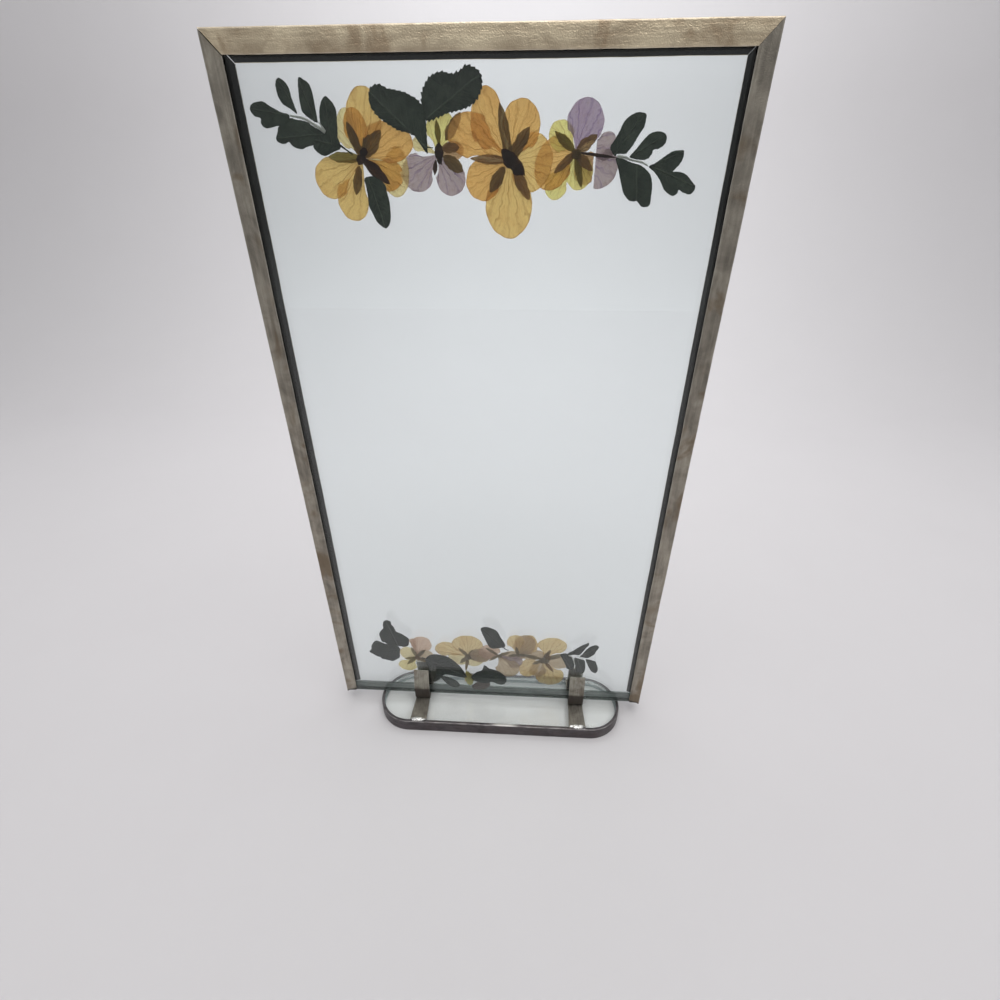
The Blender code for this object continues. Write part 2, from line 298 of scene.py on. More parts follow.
channelLook = {
    "light": (0.47, 0.43, 0.36), "dark": (0.19, 0.172, 0.145), "stain": (0.20, 0.15, 0.10), "stained": 0.8,
    "rubbed": (0.86, 0.82, 0.74), "rub": 0.35, "inner": (0.028, 0.027, 0.023), "rough": 0.30,
    "relief": 0.0005,
    "cloudScale": 75.0, "streaks": (1, 1, 9), "streakScale": 420.0, "dulled": True,
}
# the top and side channels are one pewter: the top copy is painted lighter and warmer, painted light where
# the top strip catches more light, and the sides' copy is painted darker, painted shade
topChannelLook = {
    **channelLook, "light": (0.80, 0.69, 0.50), "dark": (0.46, 0.37, 0.26), "stain": (0.36, 0.26, 0.17),
    "stained": 0.75, "streaks": (9, 1, 1),
}
# inner is the painted shade laid on the clips' legs below the bend; the straps are mixed evenly 0.45 of the
# way to it
clipLook = {
    "light": (0.50, 0.48, 0.41), "dark": (0.20, 0.18, 0.15), "stain": (0.16, 0.12, 0.10), "stained": 0.4,
    "rubbed": (0.75, 0.72, 0.66), "rub": 0.3, "inner": (0.10, 0.085, 0.08), "rough": 0.28, "relief": 0.0004,
    "cloudScale": 160.0, "streaks": (1, 14, 14), "streakScale": 1300.0, "dulled": False,
}
# inner is painted light: a pale colour laid inside the C where the base glass sits
edgingLook = {
    "light": (0.15, 0.135, 0.140), "dark": (0.065, 0.058, 0.061), "stain": (0.10, 0.08, 0.075),
    "stained": 0.4,
    "rubbed": (0.62, 0.60, 0.58), "rub": 0.5, "inner": (0.46, 0.49, 0.51), "rough": 0.26, "relief": 0.0004,
    "cloudScale": 110.0, "streaks": (7, 7, 1), "streakScale": 600.0, "dulled": False,
}
# the two dark greens here are the painted shade laid on the panes' strip below the sheet floor
paneLook = {
    "tint": (0.965, 0.988, 0.99), "smear": (0.955, 0.98, 0.982), "edge": sheetFloor,
    "bandShadeDark": (0.05, 0.07, 0.06),
    "bandShadeLight": (0.15, 0.19, 0.17), "depth": (0.45, 0.80, 0.70), "density": 9.0,
}
baseGlassLook = {
    **paneLook, "tint": (0.93, 0.95, 0.935), "smear": (0.93, 0.95, 0.935), "edge": None, "density": 6.0,
}
petalLook = {
    "veins": 15.0, "veined": 0.85, "vein": (0.52, 0.38, 0.22), "fleck": (0.66, 0.56, 0.40),
    "cloud": (0.86, 0.74, 0.62), "clouded": 0.5,
    "rim": (0.72, 0.55, 0.36), "through": 0.72,
}
mauveLook = {
    **petalLook, "veins": 11.0, "veined": 1.0, "vein": (0.42, 0.30, 0.62), "cloud": (0.88, 0.78, 0.84),
        "rim": (0.75, 0.60, 0.66),
}
leafLook = {
    "dark": (0.020, 0.030, 0.021), "light": (0.050, 0.064, 0.046), "vein": (0.085, 0.105, 0.075),
    "edge": (0.022, 0.030, 0.020),
    "veins": 9.0, "gloss": 0.25, "through": 0.06,
}
bottomLeafLook = {
    **leafLook, "dark": (0.014, 0.019, 0.015), "light": (0.034, 0.042, 0.034),
        "vein": (0.06, 0.07, 0.055), "edge": (0.015, 0.02, 0.014),
}
redLeafLook = {
    **bottomLeafLook, "dark": (0.075, 0.045, 0.040), "light": (0.13, 0.09, 0.075),
        "vein": (0.17, 0.12, 0.10), "through": 0.2,
}
stemLook = {
    **leafLook, "dark": (0.42, 0.44, 0.40), "light": (0.70, 0.72, 0.66), "vein": (0.75, 0.76, 0.70),
        "edge": (0.55, 0.56, 0.50), "gloss": 0.4, "through": 0.3,
}
materials = {
    "channel": metalMaterial("sidePewterPaintedShade", channelLook),
    "topChannel": metalMaterial("topPewterPaintedLight", topChannelLook),
    "clip": metalMaterial("brushedStrip", clipLook),
    "edging": metalMaterial("darkEdging", edgingLook),
    "solder": solderMaterial(),
    "pane": glassMaterial("paneGlass", paneLook),
    "baseGlass": glassMaterial("plateGlass", baseGlassLook),
    "strip": stripMaterial(),
    "petal": petalMaterial("goldPetal", petalLook),
    "mauve": petalMaterial("mauvePetal", mauveLook),
    "leaf": leafMaterial("darkLeaf", leafLook),
    "bottomLeaf": leafMaterial("greyLeaf", bottomLeafLook),
    "redLeaf": leafMaterial("redLeaf", redLeafLook),
    "stem": leafMaterial("paleStem", stemLook),
}
print("materials made:", len(materials))


def skin(grid, poles=None, caps=False, wrapRows=False, run=None, tone=None, finish=0):
    # a closed skin over a grid of points: columns wrap round, rows run on; each end is drawn to a pole or
    # capped flat
    rows, columns = grid.shape[:2]
    index = np.arange(rows * columns).reshape(rows, columns)
    nextColumn = np.roll(index, -1, axis=1)
    if wrapRows:
        below, belowNext = np.roll(index, -1, axis=0), np.roll(nextColumn, -1, axis=0)
        quads = np.stack([index, nextColumn, belowNext, below], axis=-1).reshape(-1, 4)
    else:
        quads = np.stack([index[:-1], nextColumn[:-1], nextColumn[1:], index[1:]], axis=-1).reshape(-1, 4)
    points = grid.reshape(-1, 3)
    run = np.zeros((rows, columns, 2)) if run is None else run
    tone = np.ones((rows, columns, 4)) if tone is None else tone
    run, tone = run.reshape(-1, 2), tone.reshape(-1, 4)
    faces = quads.tolist()
    if poles is not None:
        first, last = rows * columns, rows * columns + 1
        points = np.vstack([points, np.array(poles)])
        run = np.vstack([run, run[:columns].mean(0), run[-columns:].mean(0)])
        tone = np.vstack([tone, tone[:columns].mean(0), tone[-columns:].mean(0)])
        fan = np.stack([np.full(columns, first), nextColumn[0], index[0]], axis=-1)
        otherFan = np.stack([np.full(columns, last), index[-1], nextColumn[-1]], axis=-1)
        faces += fan.tolist() + otherFan.tolist()
    if caps:
        faces += [index[0][::-1].tolist(), index[-1].tolist()]
    a, b, c, d = (points[quads[:, k]] for k in range(4))
    middle = points.mean(0)
    volume = np.einsum("ij,ij->", a - middle, np.cross(b - middle, c - middle))
    volume += np.einsum("ij,ij->", a - middle, np.cross(c - middle, d - middle))
    if volume < 0:
        faces = [face[::-1] for face in faces]
    return {"points": points, "faces": faces, "run": run, "tone": tone, "finish": finish}


def makePiece(name, skins, finishes, nodes, sharp=None):
    # all skins joined into one mesh object that stands for its CAD nodes
    points = np.vstack([s["points"] for s in skins])
    run = np.vstack([s["run"] for s in skins])
    tone = np.vstack([s["tone"] for s in skins])
    faces, owners, offset = [], [], 0
    for s in skins:
        faces += [[corner + offset for corner in face] for face in s["faces"]]
        owners += [s["finish"]] * len(s["faces"])
        offset += len(s["points"])
    mesh = bpy.data.meshes.new(name)
    mesh.from_pydata(points.tolist(), [], faces)
    for finish in finishes:
        mesh.materials.append(materials[finish])
    mesh.polygons.foreach_set("material_index", np.array(owners, dtype=np.int32))
    corners = np.zeros(len(mesh.loops), dtype=np.int32)
    mesh.loops.foreach_get("vertex_index", corners)
    mesh.uv_layers.new(name="run").data.foreach_set("uv", run[corners].astype(np.float32).ravel())
    mesh.attributes.new("tone", "FLOAT_COLOR", "POINT").data.foreach_set("color",
            tone.astype(np.float32).ravel())
    mesh.shade_smooth()
    if sharp:
        mesh.set_sharp_from_angle(angle=math.radians(sharp))
    mesh.update()
    piece = bpy.data.objects.new(name, mesh)
    bpy.context.scene.collection.objects.link(piece)
    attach(piece, "root")
    if nodes:
        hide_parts(*nodes)
    return piece


def roundedLoop(corners, radii, steps=5):
    # a closed outline whose corners are turned by quadratic arcs; the second result is 1 at each corner's
    # middle
    corners = np.array(corners, dtype=float)
    radii = np.broadcast_to(np.array(radii, dtype=float), len(corners))[:, None]
    before, after = np.roll(corners, 1, axis=0) - corners, np.roll(corners, -1, axis=0) - corners
    lengthBefore = np.linalg.norm(before, axis=1, keepdims=True)
    lengthAfter = np.linalg.norm(after, axis=1, keepdims=True)
    start = corners + before / lengthBefore * np.minimum(radii, lengthBefore * 0.45)
    end = corners + after / lengthAfter * np.minimum(radii, lengthAfter * 0.45)
    t = np.linspace(0, 1, steps)[None, :, None]
    arcs = (1 - t) ** 2 * start[:, None] + 2 * t * (1 - t) * corners[:, None] + t ** 2 * end[:, None]
    wear = np.broadcast_to(np.sin(np.linspace(0, np.pi, steps)), (len(corners), steps))
    return arcs.reshape(-1, 2), wear.reshape(-1)


def roundedPath(corners, radius, count):
    # an open line with its bends turned by arcs, resampled to count points at even distances
    corners = np.array(corners, dtype=float)
    inner = corners[1:-1]
    before, after = corners[:-2] - inner, corners[2:] - inner
    before /= np.linalg.norm(before, axis=1, keepdims=True)
    after /= np.linalg.norm(after, axis=1, keepdims=True)
    t = np.linspace(0, 1, 9)[None, :, None]
    start, end = inner + before * radius, inner + after * radius
    arcs = (1 - t) ** 2 * start[:, None] + 2 * t * (1 - t) * inner[:, None] + t ** 2 * end[:, None]
    line = np.vstack([corners[:1], arcs.reshape(-1, 2), corners[-1:]])
    gone = np.concatenate([[0], np.cumsum(np.linalg.norm(np.diff(line, axis=0), axis=1))])
    even = np.linspace(0, gone[-1], count)
    return np.stack([np.interp(even, gone, line[:, k]) for k in range(2)], axis=1)


def smoothLoop(corners, count):
    # a closed Catmull-Rom curve through the corners, count points in all
    corners = np.array(corners, dtype=float)
    place = np.linspace(0, len(corners), count, endpoint=False)
    base = np.floor(place).astype(int)
    t = (place - base)[:, None]
    p0, p1, p2, p3 = (corners[(base + k) % len(corners)] for k in (-1, 0, 1, 2))
    return 0.5 * (2 * p1 + (p2 - p0) * t + (2 * p0 - 5 * p1 + 4 * p2 - p3) * t ** 2
                  + (3 * p1 - p0 - 3 * p2 + p3) * t ** 3)


def ripple(values, seed, waves=4, first=1.0):
    # a sum of sines of growing pitch whose phases come from the seed, between about -1 and 1
    steps = np.arange(waves)
    pitch = first * 1.83 ** steps
    phase = np.sin(seed * 12.9898 + steps * 78.233) * 43.7585
    return (np.sin(values[..., None] * pitch + phase) / 1.4 ** steps).sum(-1) / 1.9


def plate(outline, heart, middleY, look, seed, runOf, tone=(1, 1, 1), finish=0, relief=None):
    # a thin closed plate: rings shrink the outline towards its heart, in front and behind, and meet at the
    # rim;
    # half thickness = thick * sqrt(1 - ring^5), and both faces share one gentle wave in depth
    rings = np.array(look["rings"])
    back = rings[::-1][1:]
    ring = np.concatenate([rings, back])
    side = np.concatenate([-np.ones(len(rings)), np.ones(len(back))])
    half = look["thick"] / 2 * np.sqrt(np.maximum(0, 1 - ring ** 5))
    flat = heart[None, None] + (outline - heart)[None] * ring[:, None, None]
    x, z = flat[..., 0], flat[..., 1]
    turn = np.linspace(0, 2 * np.pi, len(outline), endpoint=False)[None]
    wave = look["wave"] * (ripple(x * 0.35 + z * 0.2, seed) * 0.5
            + ripple(z * 0.4 - x * 0.15, seed + 3.1) * 0.5)
    wave = wave + look["ruffle"] * ring[:, None] ** 3 * ripple(turn * 4, seed + 7.7, 3)
    y = middleY / mm + wave + (side * half)[:, None]
    run = runOf(flat)
    if relief is not None:
        y = y + np.where(side[:, None] < 0, -1.0, 0.0) * relief(run) * (1 - ring[:, None] ** 4)
    grid = np.stack([middleX / mm + x, y, sheetFloor / mm + z], axis=-1) * mm
    poleY = np.array([y[0].mean(), y[-1].mean()])
    poles = [[middleX + heart[0] * mm, poleY[0] * mm, sheetFloor + heart[1] * mm],
             [middleX + heart[0] * mm, poleY[1] * mm, sheetFloor + heart[1] * mm]]
    tones = np.empty((*ring.shape, len(outline), 4))
    tones[..., :3] = tone
    tones[..., 3] = ring[:, None]
    return skin(grid, poles=poles, run=run, tone=tones, finish=finish)


petalShape = {
    "thick": 0.09, "wave": 0.09, "ruffle": 0.07, "rings": (0.10, 0.22, 0.35, 0.48, 0.60, 0.71, 0.81, 0.89,
    0.95, 0.985, 1.0),
    "points": 112, "step": 0.105,
}
tones = {
    "gold": (0.97, 0.72, 0.28), "tan": (0.94, 0.62, 0.22), "orange": (0.93, 0.59, 0.20),
    "yellow": (0.99, 0.93, 0.38),
    "pale": (0.99, 0.88, 0.48), "mauve": (0.56, 0.47, 0.46), "purple": (0.54, 0.44, 0.53),
    "brown": (0.66, 0.45, 0.24),
    "cream": (0.95, 0.85, 0.54), "pink": (0.80, 0.62, 0.50), "dust": (0.70, 0.58, 0.42),
    "buff": (0.88, 0.72, 0.42),
    "sepal": (0.25, 0.18, 0.08), "olive": (0.27, 0.22, 0.06), "dark": (0.065, 0.040, 0.030),
    "bark": (0.32, 0.21, 0.10),
    "greySepal": (0.32, 0.27, 0.17), "bud": (0.60, 0.56, 0.16),
}


def petalOutline(petal, claw, seed):
    # an ellipse drawn out to the claw along its two tangents, a little pinched there, with a ruffled rim
    x, z, long, short, lean = petal[:5]
    turn = np.linspace(0, 2 * np.pi, petalShape["points"], endpoint=False)
    lean = math.radians(lean)
    local = np.stack([long * np.cos(turn), short * np.sin(turn)], axis=1)
    spun = local @ np.array([[math.cos(lean), math.sin(lean)], [-math.sin(lean), math.cos(lean)]])
    radius = np.linalg.norm(spun, axis=1)
    angle = np.arctan2(spun[:, 1], spun[:, 0])
    away = np.array([claw[0] - x, claw[1] - z])
    distance = np.linalg.norm(away)
    radius = radius * (1 + 0.030 * ripple(angle, seed, 3, 2.0) + 0.014 * ripple(angle * 9, seed + 2, 2))
    if distance > short * 0.95:
        off = np.abs((angle - math.atan2(away[1], away[0]) + np.pi) % (2 * np.pi) - np.pi)
        round0 = min(long, short) * 0.93
        slope = math.asin(min(0.98, round0 / distance))
        reach = math.acos(min(0.98, round0 / distance))
        cone = distance * math.sin(slope) / np.sin(np.minimum(slope + off, np.pi - 0.05))
        pinch = 1 - 0.10 * np.sin(np.clip(off / reach, 0, 1) * np.pi)
        radius = np.where(off < reach, np.maximum(radius * 0.86, cone * pinch), radius)
        radius = (np.roll(radius, 1) + 2 * radius + np.roll(radius, -1)) / 4
    return np.array([x, z]) + np.stack([np.cos(angle), np.sin(angle)], axis=1) * radius[:, None]


def fanRun(claw, heart, long):
    # across = the angle round the claw, along = the distance from it
    def run(flat):
        offset = flat - np.array(claw)
        main = math.atan2(heart[1] - claw[1], heart[0] - claw[0])
        angle = (np.arctan2(offset[..., 1], offset[..., 0]) - main + np.pi) % (2 * np.pi) - np.pi
        far = np.linalg.norm(offset, axis=-1) / long
        return np.stack([angle / np.pi + 0.5, far], axis=-1)
    return run


def blade(start, end, wide, fullest=0.5, count=72, tipRound=0.8):
    # a pointed oval from start to end: half width = wide / 2 * (t^a * (1 - t)^b) / its greatest value
    start, end = np.array(start, float), np.array(end, float)
    a = tipRound * fullest / (1 - fullest)
    b = tipRound
    t = (1 - np.cos(np.linspace(0, np.pi, count // 2 + 1))) / 2
    width = t ** a * (1 - t) ** b
    width *= wide / 2 / width.max()
    width *= 1 + 0.14 * ripple(t * 9, start[0] + end[1])
    axis = end - start
    across = np.array([-axis[1], axis[0]]) / np.linalg.norm(axis)
    line = start + t[:, None] * axis
    upper = line + width[:, None] * across
    lower = line - width[:, None] * across
    return np.vstack([upper[:-1], lower[:0:-1]])


def viola(name, spot, seed):
    # petals one behind another about the claw, then the sepals and the dark heart in front of them
    low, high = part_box(name)
    depth = (low.y + high.y) / 2
    claw = spot["claw"]
    skins = []
    for order, petal in enumerate(spot["petals"]):
        own = seed + order * 1.37
        outline = petalOutline(petal, claw, own)
        if len(petal) > 6:
            outline[:, 0] = np.clip(outline[:, 0], *petal[6])
        heart = np.array(petal[:2], dtype=float)
        long = np.linalg.norm(heart - claw) + petal[2]
        finish = 1 if petal[5] in ("mauve", "purple") else 0
        y = depth + (order - 1.5) * petalShape["step"] * mm
        skins.append(plate(outline, heart, y, petalShape, own, fanRun(claw, heart, long), tones[petal[5]],
                finish))
    thin = {**petalShape, "wave": 0.05, "ruffle": 0.03}
    for order, (root, tip, wide, tone) in enumerate(spot["sepals"]):
        root = claw if root is None else root
        outline = blade(root, tip, wide, 0.48)
        heart = (np.array(root, float) + np.array(tip, float)) / 2
        long = np.linalg.norm(np.array(tip, float) - root)
        y = depth - (2.4 + order * 0.9) * petalShape["step"] * mm
        skins.append(plate(outline, heart, y, thin, seed + order * 2.3 + 20, fanRun(root, heart, long),
                tones[tone], 0))
    for x, z, wide, tone in spot["hearts"]:
        turn = np.linspace(0, 2 * np.pi, 48, endpoint=False)
        radius = wide / 2 * (1 + 0.18 * ripple(turn * 2, seed + x, 3))
        outline = np.array([x, z]) + np.stack([np.cos(turn), np.sin(turn)], axis=1) * radius[:, None]
        thick = {**petalShape, "thick": 0.3, "wave": 0.0, "ruffle": 0.0}
        y = depth - 8.0 * petalShape["step"] * mm
        skins.append(plate(outline, np.array([x, z]), y, thick, seed, fanRun((x, z), (x + 1, z), wide),
                tones[tone], 0))
    makePiece(name.replace("viola", "pressed_viola"), skins, ["petal", "mauve"], [name])


violas = {
    "viola_top_left": {
        "claw": (-48.8, 305.5),
        "petals": (
            (-50, 314.5, 6.8, 4.5, 100, "tan"),
            (-46.3, 318.6, 9, 6.8, 90, "gold"),
            (-53.5, 314.5, 6.8, 4.2, 90, "pale"),
            (-38.4, 310.6, 10.1, 6.8, 0, "orange"),
            (-39.4, 300, 6.4, 5.6, 0, "tan"),
            (-36, 301, 8.5, 5.5, 90, "pale"),
            (-62, 299, 7, 7, 0, "gold"),
            (-54.5, 292.1, 7.9, 6.5, 90, "gold"),
        ),
        "sepals": (
            (None, (-53.2, 317), 3.5, "sepal"),
            (None, (-40.2, 314.3), 5.5, "sepal"),
            ((-47.2, 305.5), (-47.2, 312.2), 1.6, "sepal"),
            (None, (-62, 306), 3.8, "olive"),
            ((-50, 303), (-52.7, 293.2), 3.6, "sepal"),
            (None, (-38.4, 296.9), 4, "dark"),
        ),
        "hearts": (
            (-47.6, 307.4, 3, "dark"),
            (-49, 305, 3.6, "dark"),
        ),
    },
    "viola_top_small": {
        "claw": (-18.8, 306.6),
        "petals": (
            (-17.2, 314.8, 6, 5.5, 90, "yellow"),
            (-25.6, 310, 3, 2.5, 0, "pale"),
            (-13, 307.6, 4.6, 3.2, 10, "brown"),
            (-27, 300.8, 6.6, 6.3, 90, "mauve"),
            (-14, 299, 6, 5.9, 90, "mauve"),
        ),
        "sepals": (
            ((-17.9, 309.5), (-18.6, 317.5), 2.2, "olive"),
            ((-15.4, 311), (-9.2, 319.6), 4, "bark"),
            ((-18.1, 310.4), (-18.1, 303.4), 3.5, "dark"),
            ((-19.5, 305), (-20.3, 299.8), 1.8, "dark"),
            ((-18.1, 306), (-17.3, 303.2), 1.2, "dark"),
            ((-16.5, 306), (-8.8, 301), 4.6, "sepal"),
            ((-17, 308.5), (-10, 308.8), 3.6, "bark"),
        ),
        "hearts": (
            (-18.4, 306.6, 2.6, "dark"),
        ),
    },
    "viola_top_large": {
        "claw": (9.5, 304.5),
        "petals": (
            (0.6, 316.9, 10.6, 5.9, 90, "tan"), (-5.5, 312.5, 9.0, 7.2, 0, "orange"),
            (13.7, 315.0, 8.7, 7.2, 80, "tan"),
            (-0.8, 298.2, 7.0, 7.0, 60, "orange"), (9.3, 289.5, 11.6, 9.4, 90, "gold"),
            (18.0, 303.8, 9.9, 8.0, 75, "gold")),
        "sepals": (
            (None, (5.6, 322.2), 4.0, "sepal"), (None, (17.0, 314.9), 4.6, "sepal"),
            (None, (-5.9, 305.2), 3.1, "bark"),
            ((7.5, 302.5), (1.8, 294.0), 4.4, "sepal"), ((11.5, 301.5), (17.6, 291.4), 4.2, "bark"),
            ((6.4, 308.0), (15.6, 299.6), 4.8, "dark")),
        "hearts": ((9.4, 304.8, 5.6, "dark"), (12.6, 301.6, 4.4, "dark")),
    },
    "viola_top_purple": {
        "claw": (35.0, 307.0),
        "petals": (
            (38.0, 316.3, 7.4, 6.8, 80, "purple"), (29.4, 312.0, 5.4, 4.8, 120, "yellow"),
            (26.8, 303.6, 9.2, 7.2, 60, "tan"),
            (28.0, 296.7, 5.2, 4.6, 80, "yellow"), (37.0, 300.4, 5.6, 5.2, 80, "yellow"),
            (46.0, 308.8, 5.0, 4.0, 60, "mauve", (42.9, 99)),
            (45.8, 301.6, 6.8, 5.6, 60, "mauve", (42.9, 99)),
            (39.4, 302.0, 5.6, 4.6, 80, "brown", (-99, 42.1))),
        "sepals": (
            (None, (26.6, 313.6), 3.2, "olive"), (None, (42.8, 312.4), 4.0, "bark"),
            (None, (27.0, 300.4), 3.0, "bark"),
            (None, (38.0, 295.6), 2.8, "olive"), (None, (41.9, 301.0), 3.4, "bark"),
            (None, (51.0, 305.2), 1.1, "dark")),
        "hearts": ((35.2, 306.4, 3.6, "sepal"),),
    },
    "viola_bottom_pink": {
        "claw": (-50.0, 30.0),
        "petals": (
            (-46.3, 41.5, 7.2, 7.0, 90, "pink"), (-51.8, 44.0, 2.6, 2.6, 0, "pink"),
            (-56.5, 33.0, 5.5, 5.0, 90, "cream"),
            (-57.0, 21.5, 6.5, 5.3, 0, "pale"), (-45.0, 31.0, 6.6, 5.0, 0, "dust")),
        "sepals": (
            (None, (-57.6, 22.4), 2.6, "olive"), (None, (-44.0, 37.0), 3.0, "greySepal"),
            (None, (-53.4, 39.0), 2.6, "greySepal"),
            (None, (-43.6, 25.4), 3.2, "sepal"), (None, (-58.6, 28.0), 2.4, "olive")),
        "hearts": ((-49.6, 29.4, 4.2, "bark"),),
    },
    "viola_bottom_tan": {
        "claw": (-15.5, 32.0),
        "petals": (
            (-15.6, 42.4, 10.2, 8.2, 0, "buff"), (-30.0, 37.6, 7.6, 6.4, 10, "buff"),
            (-22.4, 28.6, 6.8, 5.0, 150, "cream"), (-11.4, 27.4, 6.2, 5.0, 20, "cream"),
            (-8.0, 31.6, 7.2, 5.6, -10, "dust")),
        "sepals": (
            (None, (-21.6, 39.2), 2.8, "greySepal"), (None, (-9.6, 39.0), 3.4, "greySepal"),
            (None, (-21.0, 25.2), 3.0, "greySepal"),
            (None, (-8.4, 28.6), 3.0, "greySepal"), ((-15.5, 31.0), (-17.4, 18.4), 2.2, "sepal")),
        "hearts": ((-15.4, 31.6, 4.6, "greySepal"),),
    },
    "viola_bottom_mauve": {
        "claw": (5.0, 34.5),
        "petals": (
            (-1.0, 37.0, 7.4, 6.5, 20, "pink"), (-6.6, 33.4, 7.6, 6.2, 0, "dust"),
            (11.2, 22.8, 8.7, 8.0, 120, "dust"), (16.0, 28.5, 6.0, 5.0, 60, "mauve")),
        "sepals": (
            (None, (-3.6, 41.0), 2.4, "greySepal"), (None, (12.6, 37.8), 2.6, "greySepal"),
            (None, (-1.2, 29.4), 2.4, "greySepal")),
        "hearts": ((5.6, 34.2, 3.4, "greySepal"),),
    },
    "viola_bottom_brown": {
        "claw": (18.0, 35.0),
        "petals": (
            (16.3, 46.4, 6.4, 5.8, 90, "buff"), (22.0, 43.6, 9.2, 7.3, 80, "dust"),
            (25.5, 44.2, 8.6, 5.2, 95, "buff"),
            (14.5, 33.0, 7.4, 5.0, 0, "dust")),
        "sepals": (
            (None, (26.4, 34.4), 2.6, "greySepal"), (None, (11.4, 33.6), 2.8, "greySepal"),
            (None, (16.6, 42.4), 2.4, "greySepal")),
        "hearts": ((18.2, 35.4, 3.2, "greySepal"),),
    },
    "viola_bottom_gold": {
        "claw": (35.0, 31.0),
        "petals": (
            (40.0, 43.4, 9.7, 7.6, 0, "buff"), (25.8, 22.8, 9.2, 6.6, 70, "buff"),
            (31.6, 20.4, 6.4, 6.0, 60, "dust"), (40.0, 15.2, 9.7, 8.7, 0, "buff"),
            (45.2, 28.4, 7.4, 6.0, 0, "dust"), (28.6, 34.0, 9.4, 4.8, 0, "dust")),
        "sepals": (
            (None, (20.0, 34.8), 3.2, "greySepal"), (None, (48.4, 36.6), 4.2, "greySepal"),
            (None, (42.4, 19.6), 2.6, "bark"),
            (None, (27.6, 26.4), 3.0, "greySepal"), (None, (39.4, 40.6), 3.0, "greySepal")),
        "hearts": ((35.6, 30.6, 6.4, "greySepal"), (38.0, 33.4, 4.4, "bark")),
    },
}
for number, (name, spot) in enumerate(violas.items()):
    viola(name, spot, 1.0 + number * 5.3)
print("violas made:", len(violas))


leafShape = {
    "thick": 0.20, "wave": 0.10, "ruffle": 0.06, "rings": (0.08, 0.2, 0.33, 0.46, 0.58, 0.69, 0.79, 0.87,
    0.94, 0.98, 1.0),
    "points": 144, "teeth": 0.18, "pitch": 1.7,
}


def serrated(outline, size, pitch, seed):
    # the outline pushed out by a saw of the given pitch in mm: a slow rise and a quick fall, uneven from
    # tooth to tooth
    if size <= 0:
        return outline
    along = np.roll(outline, -1, axis=0) - np.roll(outline, 1, axis=0)
    length = np.linalg.norm(along, axis=1)
    outward = np.stack([along[:, 1], -along[:, 0]], axis=1) / length[:, None]
    area = np.sum(outline[:, 0] * np.roll(outline[:, 1], -1) - np.roll(outline[:, 0], -1) * outline[:, 1])
    gone = np.cumsum(length / 2) / pitch
    tooth = (gone % 1) * (0.75 + 0.35 * ripple(gone * 0.7, seed))
    return outline + outward * np.sign(area) * (tooth - 0.4)[:, None] * size


def ribRun(base, tip, wide):
    # along = share of the way from base to tip, across = distance from the rib over half the width
    base, tip = np.array(base, float), np.array(tip, float)
    axis = tip - base
    long = np.linalg.norm(axis)
    across = np.array([-axis[1], axis[0]]) / long

    def run(flat):
        offset = flat - base
        return np.stack([offset @ axis / long ** 2, offset @ across / (wide / 2)], axis=-1)
    return run


def leafRelief(run):
    # the rib stands up 0.09 mm, and slanting side veins 0.03 mm
    along, across = run[..., 0], np.abs(run[..., 1])
    return 0.09 * np.exp(-(across / 0.10) ** 2) + 0.03 * np.cos((along * 9 - across * 2.2) * 2
            * np.pi) * np.exp(-across)


def leafletOutline(leaflet, seed):
    # a plain leaflet: half width = wide / 2 * (t^a * (1 - t)^round) / its greatest value
    base, tip = np.array(leaflet["from"], float), np.array(leaflet["to"], float)
    half = leafShape["points"] // 2
    t = (1 - np.cos(np.linspace(0, np.pi, half + 1))) / 2
    fullest, tipRound = leaflet.get("fullest", 0.58), leaflet.get("round", 0.55)
    a = tipRound * fullest / (1 - fullest)
    width = t ** a * (1 - t) ** tipRound
    width *= leaflet["wide"] / 2 / width.max()
    axis = tip - base
    across = np.array([-axis[1], axis[0]]) / np.linalg.norm(axis)
    line = base + t[:, None] * axis
    upper = line + width[:, None] * across
    lower = line - width[:, None] * across
    outline = np.vstack([upper[:-1], lower[:0:-1]])
    return serrated(outline, leafShape["teeth"], leafShape["pitch"], seed)


def stemSkin(corners, radius, depth, seed, finish):
    # a round profile, flattened in depth, carried along a smooth line that thins towards its end
    corners = np.array(corners, float)
    place = np.linspace(0, len(corners) - 1, 8 * len(corners))
    line = np.stack([np.interp(place, np.arange(len(corners)), corners[:, k]) for k in range(2)], axis=1)
    kernel = np.array([1, 2, 3, 2, 1]) / 9
    padded = np.vstack([line[:1]] * 2 + [line] + [line[-1:]] * 2)
    line = np.stack([np.convolve(padded[:, k], kernel, "valid") for k in range(2)], axis=1)
    along = np.gradient(line, axis=0)
    along /= np.linalg.norm(along, axis=1, keepdims=True) + 1e-9
    across = np.stack([-along[:, 1], along[:, 0]], axis=1)
    share = np.linspace(0, 1, len(line))
    wide = radius * (1 - 0.45 * share) * (1 + 0.12 * ripple(share * 9, seed))
    turn = np.linspace(0, 2 * np.pi, 12, endpoint=False)
    flat = line[:, None] + across[:, None] * (wide[:, None] * np.cos(turn))[..., None]
    y = depth / mm + 0.6 * wide[:, None] * np.sin(turn) * 0.35
    grid = np.stack([middleX / mm + flat[..., 0], y, sheetFloor / mm + flat[..., 1]], axis=-1) * mm
    run = np.stack([np.broadcast_to(share[:, None] * 4, y.shape),
            np.broadcast_to(np.cos(turn) * 1.0, y.shape)], axis=-1)
    return skin(grid, poles=[grid[0].mean(0), grid[-1].mean(0)], run=run, finish=finish)


